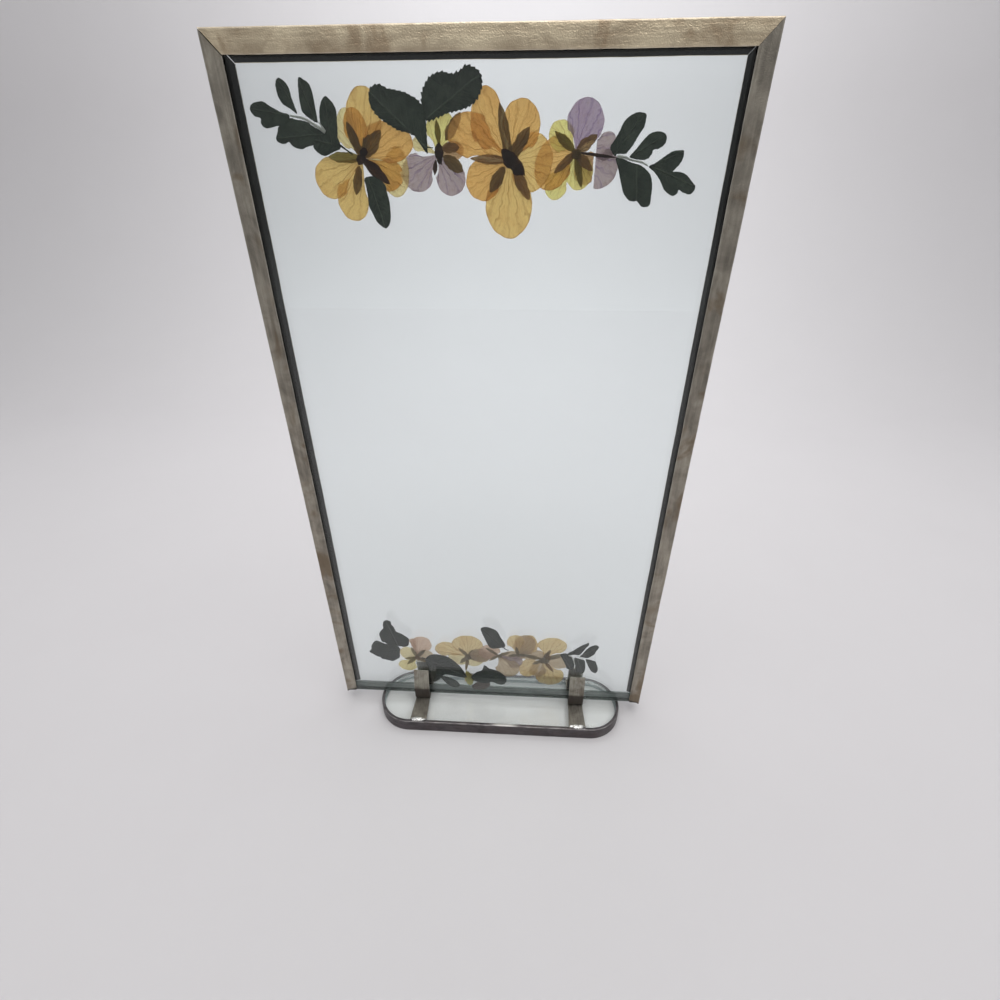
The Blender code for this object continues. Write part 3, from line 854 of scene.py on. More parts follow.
def greenery(name, spot, seed):
    low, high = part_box(name)
    depth = (low.y + high.y) / 2
    skins = []
    for order, leaflet in enumerate(spot.get("leaflets", ())):
        own = seed + order * 1.9
        outline = leafletOutline(leaflet, own)
        heart = (np.array(leaflet["from"], float) * 0.45 + np.array(leaflet["to"], float) * 0.55)
        run = ribRun(leaflet["from"], leaflet["to"], leaflet["wide"])
        y = depth + (order % 3 - 1) * 0.12 * mm
        skins.append(plate(outline, heart, y, leafShape, own, run, finish=0, relief=leafRelief))
    for order, shape in enumerate(spot.get("outlines", ())):
        own = seed + order * 2.7 + 9
        outline = serrated(smoothLoop(shape["corners"], 220), shape.get("teeth", 0.15),
                shape.get("pitch", 1.6), own)
        heart = np.array(shape.get("heart", outline.mean(0)), float)
        run = ribRun(shape["from"], shape["to"], shape["wide"])
        skins.append(plate(outline, heart, depth + (order % 3) * 0.12 * mm, leafShape, own, run, finish=0,
                relief=leafRelief))
    for order, (corners, radius, finish) in enumerate(spot.get("stems", ())):
        skins.append(stemSkin(corners, radius, depth - 0.15 * mm, seed + order, finish))
    makePiece("pressed_" + name, skins, [spot["finish"], "stem"], [name])


greens = {
    "leaf_sprig_top_left": {
        "finish": "leaf",
        "outlines": (
            {"corners": (
                (-89.6, 321.1), (-88.2, 322.6), (-84.6, 323.2), (-83.1, 322.7), (-81.4, 321.7),
                (-77.7, 319.9), (-74.7, 319), (-76, 316.4), (-80.3, 315.6), (-82.4, 315.2),
                (-84.2, 315), (-85.5, 315.4), (-86.3, 316.5), (-86.1, 317.6), (-86.4, 318.3),
                (-88, 318.6), (-89, 319.5)),
             "from": (-74.7, 318.9), "to": (-89.4, 321), "wide": 7},
            {"corners": (
                (-76.7, 329.9), (-78, 328.4), (-78.1, 326.9), (-77.9, 324.9), (-77.3, 323.4),
                (-76.4, 322.2), (-74.2, 321), (-71.6, 319.4), (-72.1, 321.7), (-72.7, 324.2),
                (-72.9, 326), (-73.5, 327.8), (-74.8, 329.2)),
             "from": (-71.2, 319.4), "to": (-77, 330.2), "wide": 5},
            {"corners": (
                (-68.7, 330.1), (-69.5, 328.4), (-69.7, 326.1), (-69.9, 323.9), (-69.8, 321.7),
                (-69.6, 320.1), (-68.2, 318.7), (-66, 317.3), (-64.3, 316.6), (-64.1, 318),
                (-64.2, 320.9), (-64.3, 323.5), (-64.6, 326.4), (-65.6, 328.4), (-67.2, 329.4)),
             "from": (-64.8, 316.4), "to": (-69.2, 330.2), "wide": 5.6},
            {"corners": (
                (-59.7, 324.5), (-61.3, 323.4), (-62.2, 321.8), (-62.7, 320.5), (-63, 318.6),
                (-63.1, 316.7), (-62.3, 314.8), (-61, 312.5), (-59, 309), (-57, 310), (-57.1, 312.1),
                (-56.8, 313.9), (-56.5, 316.7), (-56.3, 319), (-56.4, 320.8), (-57.1, 322.3),
                (-58.3, 323.6)),
             "from": (-59.6, 308), "to": (-60, 324.8), "wide": 7},
            {"corners": (
                (-74.6, 318.1), (-72.3, 317.6), (-70.4, 317.4), (-68, 316.8), (-66.5, 315.8),
                (-64.3, 314.7), (-61.6, 313.6), (-64.5, 311), (-67.4, 309.6), (-68.5, 309.4),
                (-70.1, 309), (-71.7, 308.4), (-73.6, 308.6), (-75.1, 309.2), (-76, 310),
                (-76.6, 310.8), (-77.5, 310.5), (-78.7, 310.1), (-80.3, 310.4), (-81.4, 311.2),
                (-81.4, 312.2), (-80.5, 313.8), (-79.9, 315.3), (-77.6, 317)),
             "from": (-61.5, 313.2), "to": (-81.6, 311.8), "wide": 7.6, "heart": (-71.5, 313.2)},
            {"corners": (
                (-67.3, 309.6), (-66.9, 308.3), (-65.7, 307.2), (-64.5, 306.5), (-63.1, 306.2),
                (-61.8, 306.5), (-59.6, 307.4), (-56.6, 308.6), (-56.8, 311), (-58, 313), (-61, 314),
                (-64, 313), (-66.5, 311.6)),
             "from": (-54.6, 309), "to": (-67, 311.4), "wide": 8.2, "heart": (-62, 310)},),
        "stems": (
            (((-61.5, 313.6), (-64, 315.2), (-66, 316.2), (-68.2, 317.5), (-70.5, 318.2), (-74.5, 318.8)),
            0.6, 1),
            (((-61.8, 314.2), (-63.7, 317)), 0.35, 1),
            (((-57.5, 310.2), (-51.8, 306.5)), 0.4, 0),),
    },
    "pointed_leaf_top": {
        "finish": "leaf",
        "outlines": (
            {"corners": (
                (-48.3, 298.8), (-44.9, 299.5), (-41.9, 298.1), (-40.2, 296.5), (-39.8, 294),
                (-39.2, 291.2), (-39.1, 286.8), (-39.5, 284.2), (-40.6, 282.2), (-42, 281.5),
                (-43.9, 282.6), (-45.3, 283.9), (-46.5, 286.5), (-47.8, 289.4), (-47.8, 292.7),
                (-48.1, 295.9)),
             "from": (-46.8, 299.2), "to": (-42, 281.8), "wide": 9.2},),
    },
    "serrated_leaf_left": {
        "finish": "leaf",
        "outlines": (
            {"corners": (
                (-43.3, 322), (-43.2, 325.2), (-41.9, 327.1), (-38.8, 327.6), (-36.2, 326.6),
                (-33.6, 326.2), (-30.2, 325.5), (-26.8, 324.2), (-24.2, 322.4), (-22.6, 320),
                (-22.2, 316), (-22.4, 311), (-22.9, 307), (-24.6, 311), (-27, 312.2), (-29.5, 313.1),
                (-32.6, 313.9), (-36, 315.4), (-39.8, 317.7), (-41.8, 319.6)),
             "from": (-22.6, 308.4), "to": (-43.6, 326), "wide": 13, "heart": (-32.6, 319.6),
             "teeth": 0.6, "pitch": 1.9},),
        "stems": (
            (((-22.7, 311.8), (-22.5, 306.6)), 0.45, 0),
            (((-22.7, 308.8), (-20, 308.5)), 0.25, 0),),
    },
    "serrated_leaf_right": {
        "finish": "leaf",
        "outlines": ({
            "corners": (
                (-22.6, 317.0), (-23.8, 320.4), (-23.6, 324.6), (-21.6, 328.4), (-18.6, 330.6),
                (-15.2, 331.3), (-11.8, 330.7), (-9.0, 331.4), (-6.6, 332.9), (-3.4, 332.2),
                (-1.0, 330.0), (-0.8, 326.8), (-2.8, 323.2), (-6.4, 320.7), (-10.6, 319.7),
                (-15.6, 318.6), (-20.0, 317.2)),
            "heart": (-12.4, 325.2), "from": (-22.6, 317.2), "to": (-1.6, 330.4), "wide": 13.0,
            "teeth": 0.85, "pitch": 1.8},),
    },
    "leaf_sprig_top_right": {
        "finish": "leaf",
        "outlines": (
            {"corners": (
                (49.8, 305.6), (47.8, 308.2), (49.3, 310.7), (50.8, 313.4), (51.9, 315.8),
                (53.5, 317.4), (55.4, 318.4), (57.1, 318.8), (58.9, 318.6), (60, 318.1), (60, 316.1),
                (59.7, 314.3), (58.6, 312.7), (57.3, 310.6), (56, 308.5), (54.4, 306.7), (53.7, 306.2),
                (50.8, 306.2)),
             "from": (49.8, 306), "to": (59.4, 319.4), "wide": 7.2},
            {"corners": (
                (55.5, 305.4), (57.4, 307.5), (59.2, 309.6), (61, 311.5), (62.6, 312.6), (64.8, 313.1),
                (66.8, 312.9), (68.3, 311.9), (68.6, 310.2), (67.8, 308.8), (66.1, 307.8),
                (64.2, 307.5), (63.9, 306.5), (62.9, 305), (61.2, 304.3), (58.9, 304.4), (56.7, 304.8)),
             "from": (55.2, 305.2), "to": (69, 312.4), "wide": 6.8},
            {"corners": (
                (63.3, 302.3), (65.3, 303.2), (67.7, 304.7), (70, 306.2), (71.9, 307.1), (73.7, 307.3),
                (75.6, 307.2), (75.9, 305.6), (75.5, 304), (74.5, 302.5), (73.4, 301.4), (72.6, 300.6),
                (70.5, 299.6), (67.5, 300), (65.2, 300.8)),
             "from": (62.6, 302), "to": (76.4, 307.2), "wide": 5.8},
            {"corners": (
                (63.3, 302.3), (67, 302), (70.5, 301.2), (72.8, 300.6), (74.9, 300.5), (76.8, 300.1),
                (78.5, 299.2), (80.1, 297.8), (81.9, 296.1), (82.1, 294.9), (81.4, 293.7),
                (80.2, 293.1), (78.5, 293.5), (77.1, 294), (76, 294.6), (75.4, 293.3), (74.1, 292.6),
                (73.1, 292.8), (71.6, 293.6), (70.1, 294.8), (69, 296.5), (67.3, 298.7), (65.4, 300.5),
                (64.2, 301.7)),
             "from": (63.4, 302.6), "to": (82.4, 295.6), "wide": 7.4},
            {"corners": (
                (50.3, 304.9), (52.8, 304.9), (55.3, 303.9), (58, 303.2), (60.2, 302.6), (62.4, 301.3),
                (64.3, 299.5), (65.2, 297.2), (65.6, 294.9), (65.6, 293.1), (65.7, 290.8),
                (65.3, 289.4), (64, 288.9), (62.4, 289), (61.3, 289.9), (60.2, 290.9), (58.8, 290.8),
                (57.1, 291.2), (55.7, 292.3), (54.4, 293.9), (53.5, 296.2), (52.6, 298.8),
                (51.6, 301.7)),
             "from": (58.5, 303), "to": (60, 291), "wide": 13},),
        "stems": (
            (((50.7, 305.6), (54, 305.1), (56, 304.3), (60.3, 303.6), (62.9, 302.4)), 0.5, 1),),
    },
    "lobed_leaf_bottom": {
        "finish": "bottomLeaf",
        "outlines": (
            {"corners": (
                (-66.6, 62.9), (-68.7, 62.1), (-69.8, 59), (-69.9, 56), (-71.6, 53.7), (-73.2, 50.5),
                (-72.9, 47.4), (-72.4, 44.8), (-71.5, 43.5), (-70.2, 43.1), (-68, 41), (-64, 40.4),
                (-60.2, 40.1), (-57.2, 39.8), (-54.6, 41.6), (-54, 45.2), (-54, 47.6), (-55.9, 49.6),
                (-58.6, 51.7), (-61.7, 53.3), (-62.2, 55), (-62.9, 57.6), (-64.3, 59.6), (-64.4, 61.9)),
             "from": (-62, 41), "to": (-67.6, 62.2), "wide": 16, "heart": (-64.5, 48.5)},),
    },
    "round_leaf_bottom": {
        "finish": "bottomLeaf",
        "outlines": (
            {"corners": (
                (-82.2, 33.3), (-80.5, 36), (-79.9, 39.2), (-78.2, 42.1), (-76.3, 43.8), (-74.4, 43.5),
                (-72.5, 42.4), (-69.8, 41.2), (-66.5, 40.1), (-62.5, 39.6), (-61.2, 38.4),
                (-60.8, 36.6), (-61.4, 33.2), (-61.9, 29.4), (-63.7, 27.4), (-66.8, 25.3),
                (-69.5, 25.8), (-72.1, 26.6), (-74.6, 27.2), (-74.9, 28.8), (-77.3, 29.2),
                (-79.3, 30.8)),
             "from": (-60.6, 37), "to": (-82.4, 32.4), "wide": 17, "heart": (-70.5, 34.5), "teeth": 0.45,
             "pitch": 1.7},),
    },
    "broad_leaf_bottom": {
        "finish": "bottomLeaf",
        "outlines": ({
            "corners": (
                (-44.4, 28.6), (-41.8, 32.4), (-37.4, 34.0), (-30.4, 32.8), (-26.6, 30.2),
                (-22.6, 25.8), (-19.4, 20.6), (-16.8, 13.2), (-22.4, 13.4), (-28.6, 15.0),
                (-33.0, 14.2), (-36.2, 9.6), (-40.0, 7.4), (-41.6, 12.0), (-42.4, 18.0), (-43.4, 23.4)),
            "heart": (-32.4, 22.0), "from": (-44.0, 29.6), "to": (-17.2, 13.4), "wide": 19.0,
            "teeth": 0.35, "pitch": 2.0},),
        "stems": ((((-46.5, 30.6), (-44.2, 29.6), (-42.0, 28.4)), 0.4, 0),),
    },
    "small_leaf_bottom": {
        "finish": "bottomLeaf",
        "leaflets": ({"from": (-35.0, 13.0), "to": (-22.6, 2.8), "wide": 7.2, "fullest": 0.62,
        "round": 0.5},),
    },
    "paired_leaf_bottom": {
        "finish": "bottomLeaf",
        "outlines": ({
            "corners": (
                (-13.6, 14.4), (-9.6, 19.0), (-6.4, 20.6), (-4.4, 25.6), (-1.4, 23.0), (1.8, 21.8),
                (5.4, 20.2), (9.4, 16.2), (10.6, 11.2), (8.4, 7.6), (4.6, 7.6), (0.4, 9.6),
                (-3.6, 8.0), (-9.0, 9.0), (-12.6, 11.2)),
            "heart": (-1.2, 14.6), "from": (-13.2, 13.6), "to": (10.4, 13.0), "wide": 15.0, "teeth": 0.35,
            "pitch": 2.2},),
    },
    "red_leaf_bottom": {
        "finish": "redLeaf",
        "leaflets": ({"from": (-1.0, 8.0), "to": (-13.0, 2.0), "wide": 8.4, "fullest": 0.5, "round": 0.5},),
    },
    "upright_leaf_bottom": {
        "finish": "bottomLeaf",
        "outlines": ({
            "corners": (
                (-6.2, 59.0), (-3.4, 60.4), (0.2, 59.6), (3.8, 57.4), (6.4, 52.2), (9.6, 44.4),
                (5.4, 42.2), (0.8, 41.6), (-1.8, 44.4), (-3.8, 50.0), (-5.6, 55.0)),
            "heart": (1.4, 50.8), "from": (8.0, 42.4), "to": (-5.6, 59.6), "wide": 11.0, "teeth": 0.3,
            "pitch": 1.8},),
        "stems": ((((7.4, 44.0), (9.6, 41.6), (11.8, 40.6)), 0.45, 0),),
    },
    "leaf_sprig_bottom_right": {
        "finish": "bottomLeaf",
        "outlines": (
            {"corners": (
                (50.4, 39.6), (51.9, 41.4), (53.6, 42.5), (56.5, 45.3), (59.7, 47.9), (61.6, 49.2),
                (63, 50.3), (63.5, 48.1), (61.7, 45), (59.8, 41.3), (58, 38.9), (55, 38.9), (52, 38.6)),
             "from": (48.6, 37.8), "to": (64.2, 50.8), "wide": 5, "heart": (57.3, 43)},
            {"corners": (
                (58.4, 37.6), (60, 39.6), (61.6, 42.8), (63.4, 45.4), (65.4, 47.3), (67.4, 48.2),
                (69.2, 47.8), (70.1, 46.4), (69.7, 44.8), (68.6, 42.6), (67.8, 40.1), (66.2, 38.2),
                (64.4, 36.7), (62.9, 36.3), (60.7, 36.6)),
             "from": (58.2, 37), "to": (71, 48.2), "wide": 6.4, "heart": (64.5, 42)},
            {"corners": (
                (62.6, 35.1), (65.2, 34.8), (67.5, 34), (69.1, 33.3), (70, 31.2), (70.9, 28.4),
                (71.4, 25.5), (71.2, 23.7), (70.2, 22.4), (68.6, 22.9), (67.1, 24.1), (65.5, 27),
                (63.8, 31.1), (62.9, 33.2)),
             "from": (61.6, 36.4), "to": (70.2, 21.4), "wide": 6, "heart": (67.6, 28.6)},
            {"corners": (
                (55.2, 36.4), (57.2, 35.9), (59.5, 35), (61.3, 34.5), (62.3, 33), (62.7, 30.1),
                (63, 27.6), (62.8, 25), (62.3, 22.6), (59.8, 21.2), (57.4, 22.4), (56.4, 26), (56, 30),
                (55.2, 33.6)),
             "from": (56.6, 36.4), "to": (61.4, 20.2), "wide": 8.4},
            {"corners": (
                (45.8, 38.6), (48, 39.8), (50.4, 39.4), (52.7, 37.2), (53.9, 34.9), (55.1, 31.6),
                (55.7, 28.1), (54.9, 25.5), (52.6, 25), (50.8, 25.8), (50, 28.4), (48.6, 31.5),
                (47.3, 34.5), (46.2, 36.8)),
             "from": (46.4, 39), "to": (54.6, 22.6), "wide": 7.6},),
        "stems": (
            (((51, 38.3), (53, 37.3), (54.3, 35.9), (54.9, 33.4), (55.8, 29.8)), 0.45, 1),
            (((56.8, 38.2), (59.7, 36.1), (61.8, 35.4)), 0.3, 1),),
    },
}
for number, (name, spot) in enumerate(greens.items()):
    greenery(name, spot, 2.0 + number * 3.7)


def budPiece():
    # the green bud hanging under the tan viola: a fat pointed oval with two folded leaves of its own, drawn
    # as flat pointed plates
    low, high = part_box("bud_bottom")
    depth = (low.y + high.y) / 2
    fat = {**petalShape, "thick": 0.35, "wave": 0.04}
    skins = []
    for order, (root, tip, wide, tone) in enumerate((
            ((-17.0, 19.0), (-14.4, 4.0), 5.4, "bud"), ((-16.0, 18.0), (-12.2, 8.0), 3.2, "olive"),
            ((-16.6, 17.0), (-17.8, 7.0), 2.8, "buff"))):
        heart = (np.array(root) + np.array(tip)) / 2
        y = depth + (order - 1) * 0.14 * mm
        skins.append(plate(blade(root, tip, wide, 0.6), heart, y, fat, 60 + order,
                fanRun(root, heart, 14.0), tones[tone], 0))
    makePiece("pressed_bud_bottom", skins, ["petal"], ["bud_bottom"])


budPiece()
print("leaves made:", len(greens) + 1)


channelShape = {"lip": 7.2, "backLip": 7.5, "topLip": 7.6, "topBackLip": 7.9, "sheet": 0.7, "bend": 0.75,
        "edge": 0.28, "cut": 3.3, "mitre": 0.10, "openMitre": 0.42, "wobble": 0.10}


def channelProfile(lip, backLip):
    # the U of the strip: x is the distance in from the outer edge, y the depth; marks are 1 on bends, and 1
    # inside, where the channel gets painted shade
    front, back = frameLow.y / mm, frameHigh.y / mm
    sheet, bend, edge = channelShape["sheet"], channelShape["bend"], channelShape["edge"]
    corners = ((0, front), (lip, front), (lip, front + sheet), (sheet, front + sheet),
            (sheet, back - sheet),
               (backLip, back - sheet), (backLip, back), (0, back))
    loop, wear = roundedLoop(corners, (bend, edge, edge, 0.15, 0.15, edge, edge, bend))
    inside = ((loop[:, 1] > front + sheet * 0.8) & (loop[:, 1] < back - sheet
            * 0.8) & (loop[:, 0] > sheet * 0.8)).astype(float)
    return loop, wear, inside


def channelSkin(startLoop, endLoop, wear, inside, steps, seed, outward, finish):
    # straight lines from the start loop to the end loop, with a slow hand-bent wander and small dents
    share = np.concatenate([(0.0, 0.0012, 0.0026), np.linspace(0.0045, 1, steps)])[:, None, None]
    grid = startLoop[None] * (1 - share) + endLoop[None] * share
    length = np.linalg.norm(endLoop.mean(0) - startLoop.mean(0))
    run = share[..., 0] * length
    wander = channelShape["wobble"] * (ripple(run * 0.045, seed) * 0.7 + ripple(run * 0.22, seed + 1) * 0.3)
    fade = np.minimum(1, np.minimum(share, 1 - share)[..., 0] * 18)
    grid = grid + np.array(outward)[None, None] * (wander * fade)[..., None]
    grid[..., 1] += 0.07 * ripple(run * 0.07, seed + 5) * fade
    tone = np.zeros((*grid.shape[:2], 4))
    tone[..., 0] = wear[None] * (0.6 + 0.4 * ripple(run * 0.5 + wear[None], seed + 2))
    # painted shade inside the channel, and over about the first mm at the foot of each side channel
    tone[..., 1] = np.maximum(inside[None], 0.75 * np.exp(-(run / 0.9) ** 2) * (startLoop[0, 2] < 50))
    tone[..., 3] = 1
    uv = np.stack([np.broadcast_to(run * mm, grid.shape[:2]),
            np.broadcast_to(np.linspace(0, 1, len(wear))[None], grid.shape[:2])], axis=-1)
    return skin(grid * mm, caps=True, run=uv, tone=tone, finish=finish)


def tabSkin(side):
    # the snipped end of a side channel, folded in under the glass, drawn as one thin flat plate with its
    # outer corner left as a small point
    edge = (frameLow.x if side < 0 else frameHigh.x) / mm
    inward = 1 if side < 0 else -1
    bottom = sheetFloor / mm
    corners = np.array(((0.25, 0.5), (7.0, 0.5), (6.7, -1.9), (1.9, -2.2), (0.5, -3.3), (0.15, -1.6)))
    outline, _ = roundedLoop(corners, 0.35, 6)
    rings = np.array((0.3, 0.6, 0.85, 0.95, 1.0, 1.0, 0.95, 0.85, 0.6, 0.3))
    depth = np.array((0, 0, 0, 0.02, 0.1, 0.5, 0.58, 0.6, 0.6, 0.6)) + frameLow.y / mm + 0.12
    heart = np.array((3.4, -0.8))
    flat = heart + (outline - heart)[None] * rings[:, None, None]
    grid = np.stack([edge + inward * flat[..., 0], np.broadcast_to(depth[:, None], flat.shape[:2]),
            bottom + flat[..., 1]], axis=-1)
    poles = [[edge + inward * heart[0], depth[0], bottom + heart[1]],
            [edge + inward * heart[0], depth[-1], bottom + heart[1]]]
    tone = np.zeros((*grid.shape[:2], 4))
    # painted shade: the whole tab is laid 0.9 of the way to the inner colour
    tone[..., 1] = 0.9
    return skin(grid * mm, poles=np.array(poles) * mm, tone=tone, finish=0)


def channels():
    top = frameHigh.z / mm
    bottom = sheetFloor / mm
    left, right = frameLow.x / mm, frameHigh.x / mm
    loop, wear, inside = channelProfile(channelShape["lip"], channelShape["backLip"])
    for name, side, edge in (("channel_left", -1, left), ("channel_right", 1, right)):
        inward = -side
        foot = bottom - channelShape["cut"] * np.clip(1 - loop[:, 0] / channelShape["lip"], 0, 1) ** 2.5
        gap = channelShape["openMitre"] if side < 0 else channelShape["mitre"]
        x = edge + inward * loop[:, 0]
        start = np.stack([x, loop[:, 1], foot], axis=1)
        end = np.stack([x, loop[:, 1], top - loop[:, 0] * 7.6 / 7.2 - gap], axis=1)
        body = channelSkin(start, end, wear, inside, 130, 3.0 + side, (inward, 0, 0), 0)
        makePiece("pewter_" + name, [body, tabSkin(side)], ["channel"], [name], 32)
    loop, wear, inside = channelProfile(channelShape["topLip"], channelShape["topBackLip"])
    height = top - loop[:, 0]
    start = np.stack([left + loop[:, 0] * 7.2 / 7.6 + 0.05, loop[:, 1], height], axis=1)
    end = np.stack([right - loop[:, 0] * 7.2 / 7.6 - 0.05, loop[:, 1], height], axis=1)
    body = channelSkin(start, end, wear, inside, 90, 8.0, (0, 0, -1), 0)
    makePiece("pewter_channel_top", [body], ["topChannel"], ["channel_top"], 32)


edgingShape = {"lip": 2.0, "wall": 0.9, "sheet": 0.75, "bend": 0.10, "lift": 0.08}


def edging():
    # the C-shaped strip carried round the base: a straight, a half circle, a straight and a half circle
    low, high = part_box("base_edging")
    low, high = np.array(low) / mm, np.array(high) / mm
    radius = (high[1] - low[1]) / 2
    straight = (high[0] - low[0]) - 2 * radius
    middle = (low + high) / 2
    around = 2 * straight + 2 * np.pi * radius
    gone = np.linspace(0, around, 320, endpoint=False)
    half = straight + np.pi * radius
    part = gone % half
    flip = np.where(gone < half, 1.0, -1.0)
    turn = np.clip((part - straight) / radius, 0, np.pi)
    x = np.where(part < straight, part - straight / 2, straight / 2 + radius * np.sin(turn))
    y = np.where(part < straight, -radius, -radius * np.cos(turn))
    normal = np.stack([np.sin(turn) * flip, -np.cos(turn) * flip, np.zeros(len(gone))], axis=1)
    line = np.stack([middle[0] + x * flip, middle[1] + y * flip, np.zeros(len(gone))], axis=1)
    tall = high[2]
    lip, wall, sheet = (edgingShape[key] for key in ("lip", "wall", "sheet"))
    corners = ((0, 0), (0, tall), (lip, tall), (lip, tall - sheet), (wall, tall - sheet), (wall, sheet),
            (lip, sheet), (lip, 0))
    loop, wear = roundedLoop(corners, (0.5, 0.6, 0.3, 0.2, 0.2, 0.2, 0.2, 0.3))
    bend = edgingShape["bend"] * ripple(gone / around * 2 * np.pi * 3, 4.4)[:, None]
    lift = edgingShape["lift"] * ripple(gone / around * 2 * np.pi * 5, 9.1)[:,
            None] * (loop[None, :, 1] / tall)
    inwards = loop[None, :, 0] + np.abs(bend) * 0.6
    grid = line[:, None] - normal[:, None] * inwards[..., None]
    grid[..., 2] = loop[None, :, 1] - np.abs(lift)
    seam = np.exp(-((line[:, 0] - 10.0) / 8.0) ** 4) * (line[:, 1] < middle[1])
    tone = np.zeros((*grid.shape[:2], 4))
    tone[..., 0] = wear[None] * (0.55 + 0.45 * ripple(gone * 0.4, 2.2)[:, None])
    tone[..., 0] = np.maximum(tone[..., 0], seam[:, None] * (loop[None, :, 1] > tall - 0.3) * 1.8)
    # painted light: the inside of the C gets the pale inner colour
    tone[..., 1] = ((loop[:, 0] > 0.7) & (loop[:, 1] < tall - 0.4))[None]
    tone[..., 3] = 1
    run = np.stack([np.broadcast_to(gone[:, None] * mm, grid.shape[:2]),
            np.broadcast_to(loop[None, :, 1], grid.shape[:2])], axis=-1)
    makePiece("strip_base_edging", [skin(grid * mm, wrapRows=True, run=run, tone=tone)], ["edging"],
            ["base_edging"], 32)


def bandSkin(line, across, wide, thick, seed, darkness):
    # a flat strip: a rounded rectangle carried along a line in the depth-height plane, a little uneven in
    # width
    wide = np.broadcast_to(np.asarray(wide, float), len(line))
    along = np.gradient(line, axis=0)
    along /= np.linalg.norm(along, axis=1, keepdims=True)
    normal = np.stack([-along[:, 1], along[:, 0]], axis=1)
    loop, wear = roundedLoop(((-0.5, -0.5), (0.5, -0.5), (0.5, 0.5), (-0.5, 0.5)),
            (0.035, 0.035, 0.035, 0.035), 4)
    share = np.linspace(0, 1, len(line))
    ragged = 1 + 0.012 * ripple(share * 14, seed)
    x = across + loop[None, :, 0] * (wide * ragged)[:, None]
    offset = normal[:, None] * (loop[None, :, 1] * thick)[..., None]
    grid = np.stack([x, line[:, None, 0] + offset[..., 0], line[:, None, 1] + offset[..., 1]], axis=-1)
    edges = np.abs(np.abs(loop[:, 0]) - 0.5) < 0.02
    tone = np.zeros((*grid.shape[:2], 4))
    tone[..., 0] = (wear * edges)[None] * (0.6 + 0.4 * ripple(share * 20, seed + 3)[:, None])
    tone[..., 1] = darkness[:, None]
    tone[..., 3] = 1
    run = np.stack([np.broadcast_to(share[:, None], grid.shape[:2]),
            np.broadcast_to(loop[None, :, 0], grid.shape[:2])], axis=-1)
    return skin(grid * mm, caps=True, run=run, tone=tone)


clipShape = {"thick": 1.0, "bendHeight": 8.9, "lean": 2.7, "radius": 1.2}


def holders():
    # each strap lies across the base, and each clip is one strip bent up in front of and behind the glass
    for side in ("left", "right"):
        low, high = (np.array(v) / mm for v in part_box("strap_" + side))
        middle = (low[0] + high[0]) / 2
        share = np.linspace(0, 1, 60)
        line = np.stack([low[1] + (high[1] - low[1]) * share, np.full(60, (low[2] + high[2]) / 2)], axis=1)
        line[:, 1] += 0.05 * np.sin(share * np.pi * 3)
        wide = (high[0] - low[0]) * (0.89 + 0.11 * np.abs(2 * share - 1) ** 2)
        # the whole strap is mixed 0.45 of the way to the inner colour
        skins = [bandSkin(line, middle, wide, high[2] - low[2] - 0.06, 5.0 + middle, np.full(60, 0.45))]
        makePiece("strip_strap_" + side, skins, ["clip"], ["strap_" + side], 32)
        low, high = (np.array(v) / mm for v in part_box("clip_" + side))
        thick, middle = clipShape["thick"], (low[0] + high[0]) / 2
        front, back, foot, top = low[1] + thick / 2, high[1] - thick / 2, low[2] + thick / 2, high[2]
        bendHeight = foot + clipShape["bendHeight"]
        lean = clipShape["lean"]
        corners = ((front + lean, top), (front, bendHeight), (front, foot), (back, foot),
                (back, bendHeight), (back - lean, top))
        line = roundedPath(corners, clipShape["radius"], 150)
        height = line[:, 1]
        # painted shade on the legs below the bend, fading out across 1.5 mm about it
        darkness = np.clip((bendHeight - height) / 1.5 + 0.5, 0, 1) * 0.85
        skins = [bandSkin(line, middle, high[0] - low[0] - 0.1, thick, 15.0 + middle, darkness)]
        makePiece("strip_clip_" + side, skins, ["clip"], ["clip_" + side], 32)


solderShape = {"spread": 0.80, "lumps": 0.16, "peaks": 0.25, "rise": 0.86}


def solderBeads():
    # each bead is a flattened dome: radius = 1 + lumps, squashed to the CAD bead's box, with a flat foot
    turn = np.linspace(0, 2 * np.pi, 72, endpoint=False)[None]
    rise = np.linspace(-np.pi / 2, np.pi / 2, 26)[1:-1, None]
    for name in ("solder_front_left", "solder_front_right", "solder_back_left", "solder_back_right"):
        low, high = (np.array(v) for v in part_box(name))
        middle, half = (low + high) / 2, (high - low) / 2
        seed = middle[0] * 300 + middle[1] * 90
        lump = 1 + solderShape["lumps"] * ripple(turn * 3 + rise * 2, seed) * np.cos(rise)
        peaks = 1 + solderShape["peaks"] * ripple(turn * 2 + 1.0, seed + 4)
        x = middle[0] + half[0] * np.cos(rise) * np.cos(turn) * lump * solderShape["spread"]
        y = middle[1] + half[1] * np.cos(rise) * np.sin(turn) * lump * solderShape["spread"]
        z = low[2] + (high[2] - low[2]) * np.clip(np.sin(rise) * peaks, -0.12,
                1.15) * solderShape["rise"] + 0 * turn
        grid = np.stack([x, y, np.maximum(z, low[2] - 0.0003)], axis=-1)
        body = skin(grid, poles=[grid[0].mean(0), grid[-1].mean(0)])
        makePiece("bead_" + name, [body], ["solder"], [name], 50)


channels()
edging()
holders()
solderBeads()
print("metal made")


def dressNode(name, finish, castShadow=True):
    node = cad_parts[name]
    node.data.materials.clear()
    node.data.materials.append(materials[finish])
    node.visible_shadow = castShadow


dressNode("front_glass", "pane", False)
dressNode("back_glass", "pane", False)
dressNode("bottom_spacer", "strip")
dressNode("base_glass", "baseGlass", False)


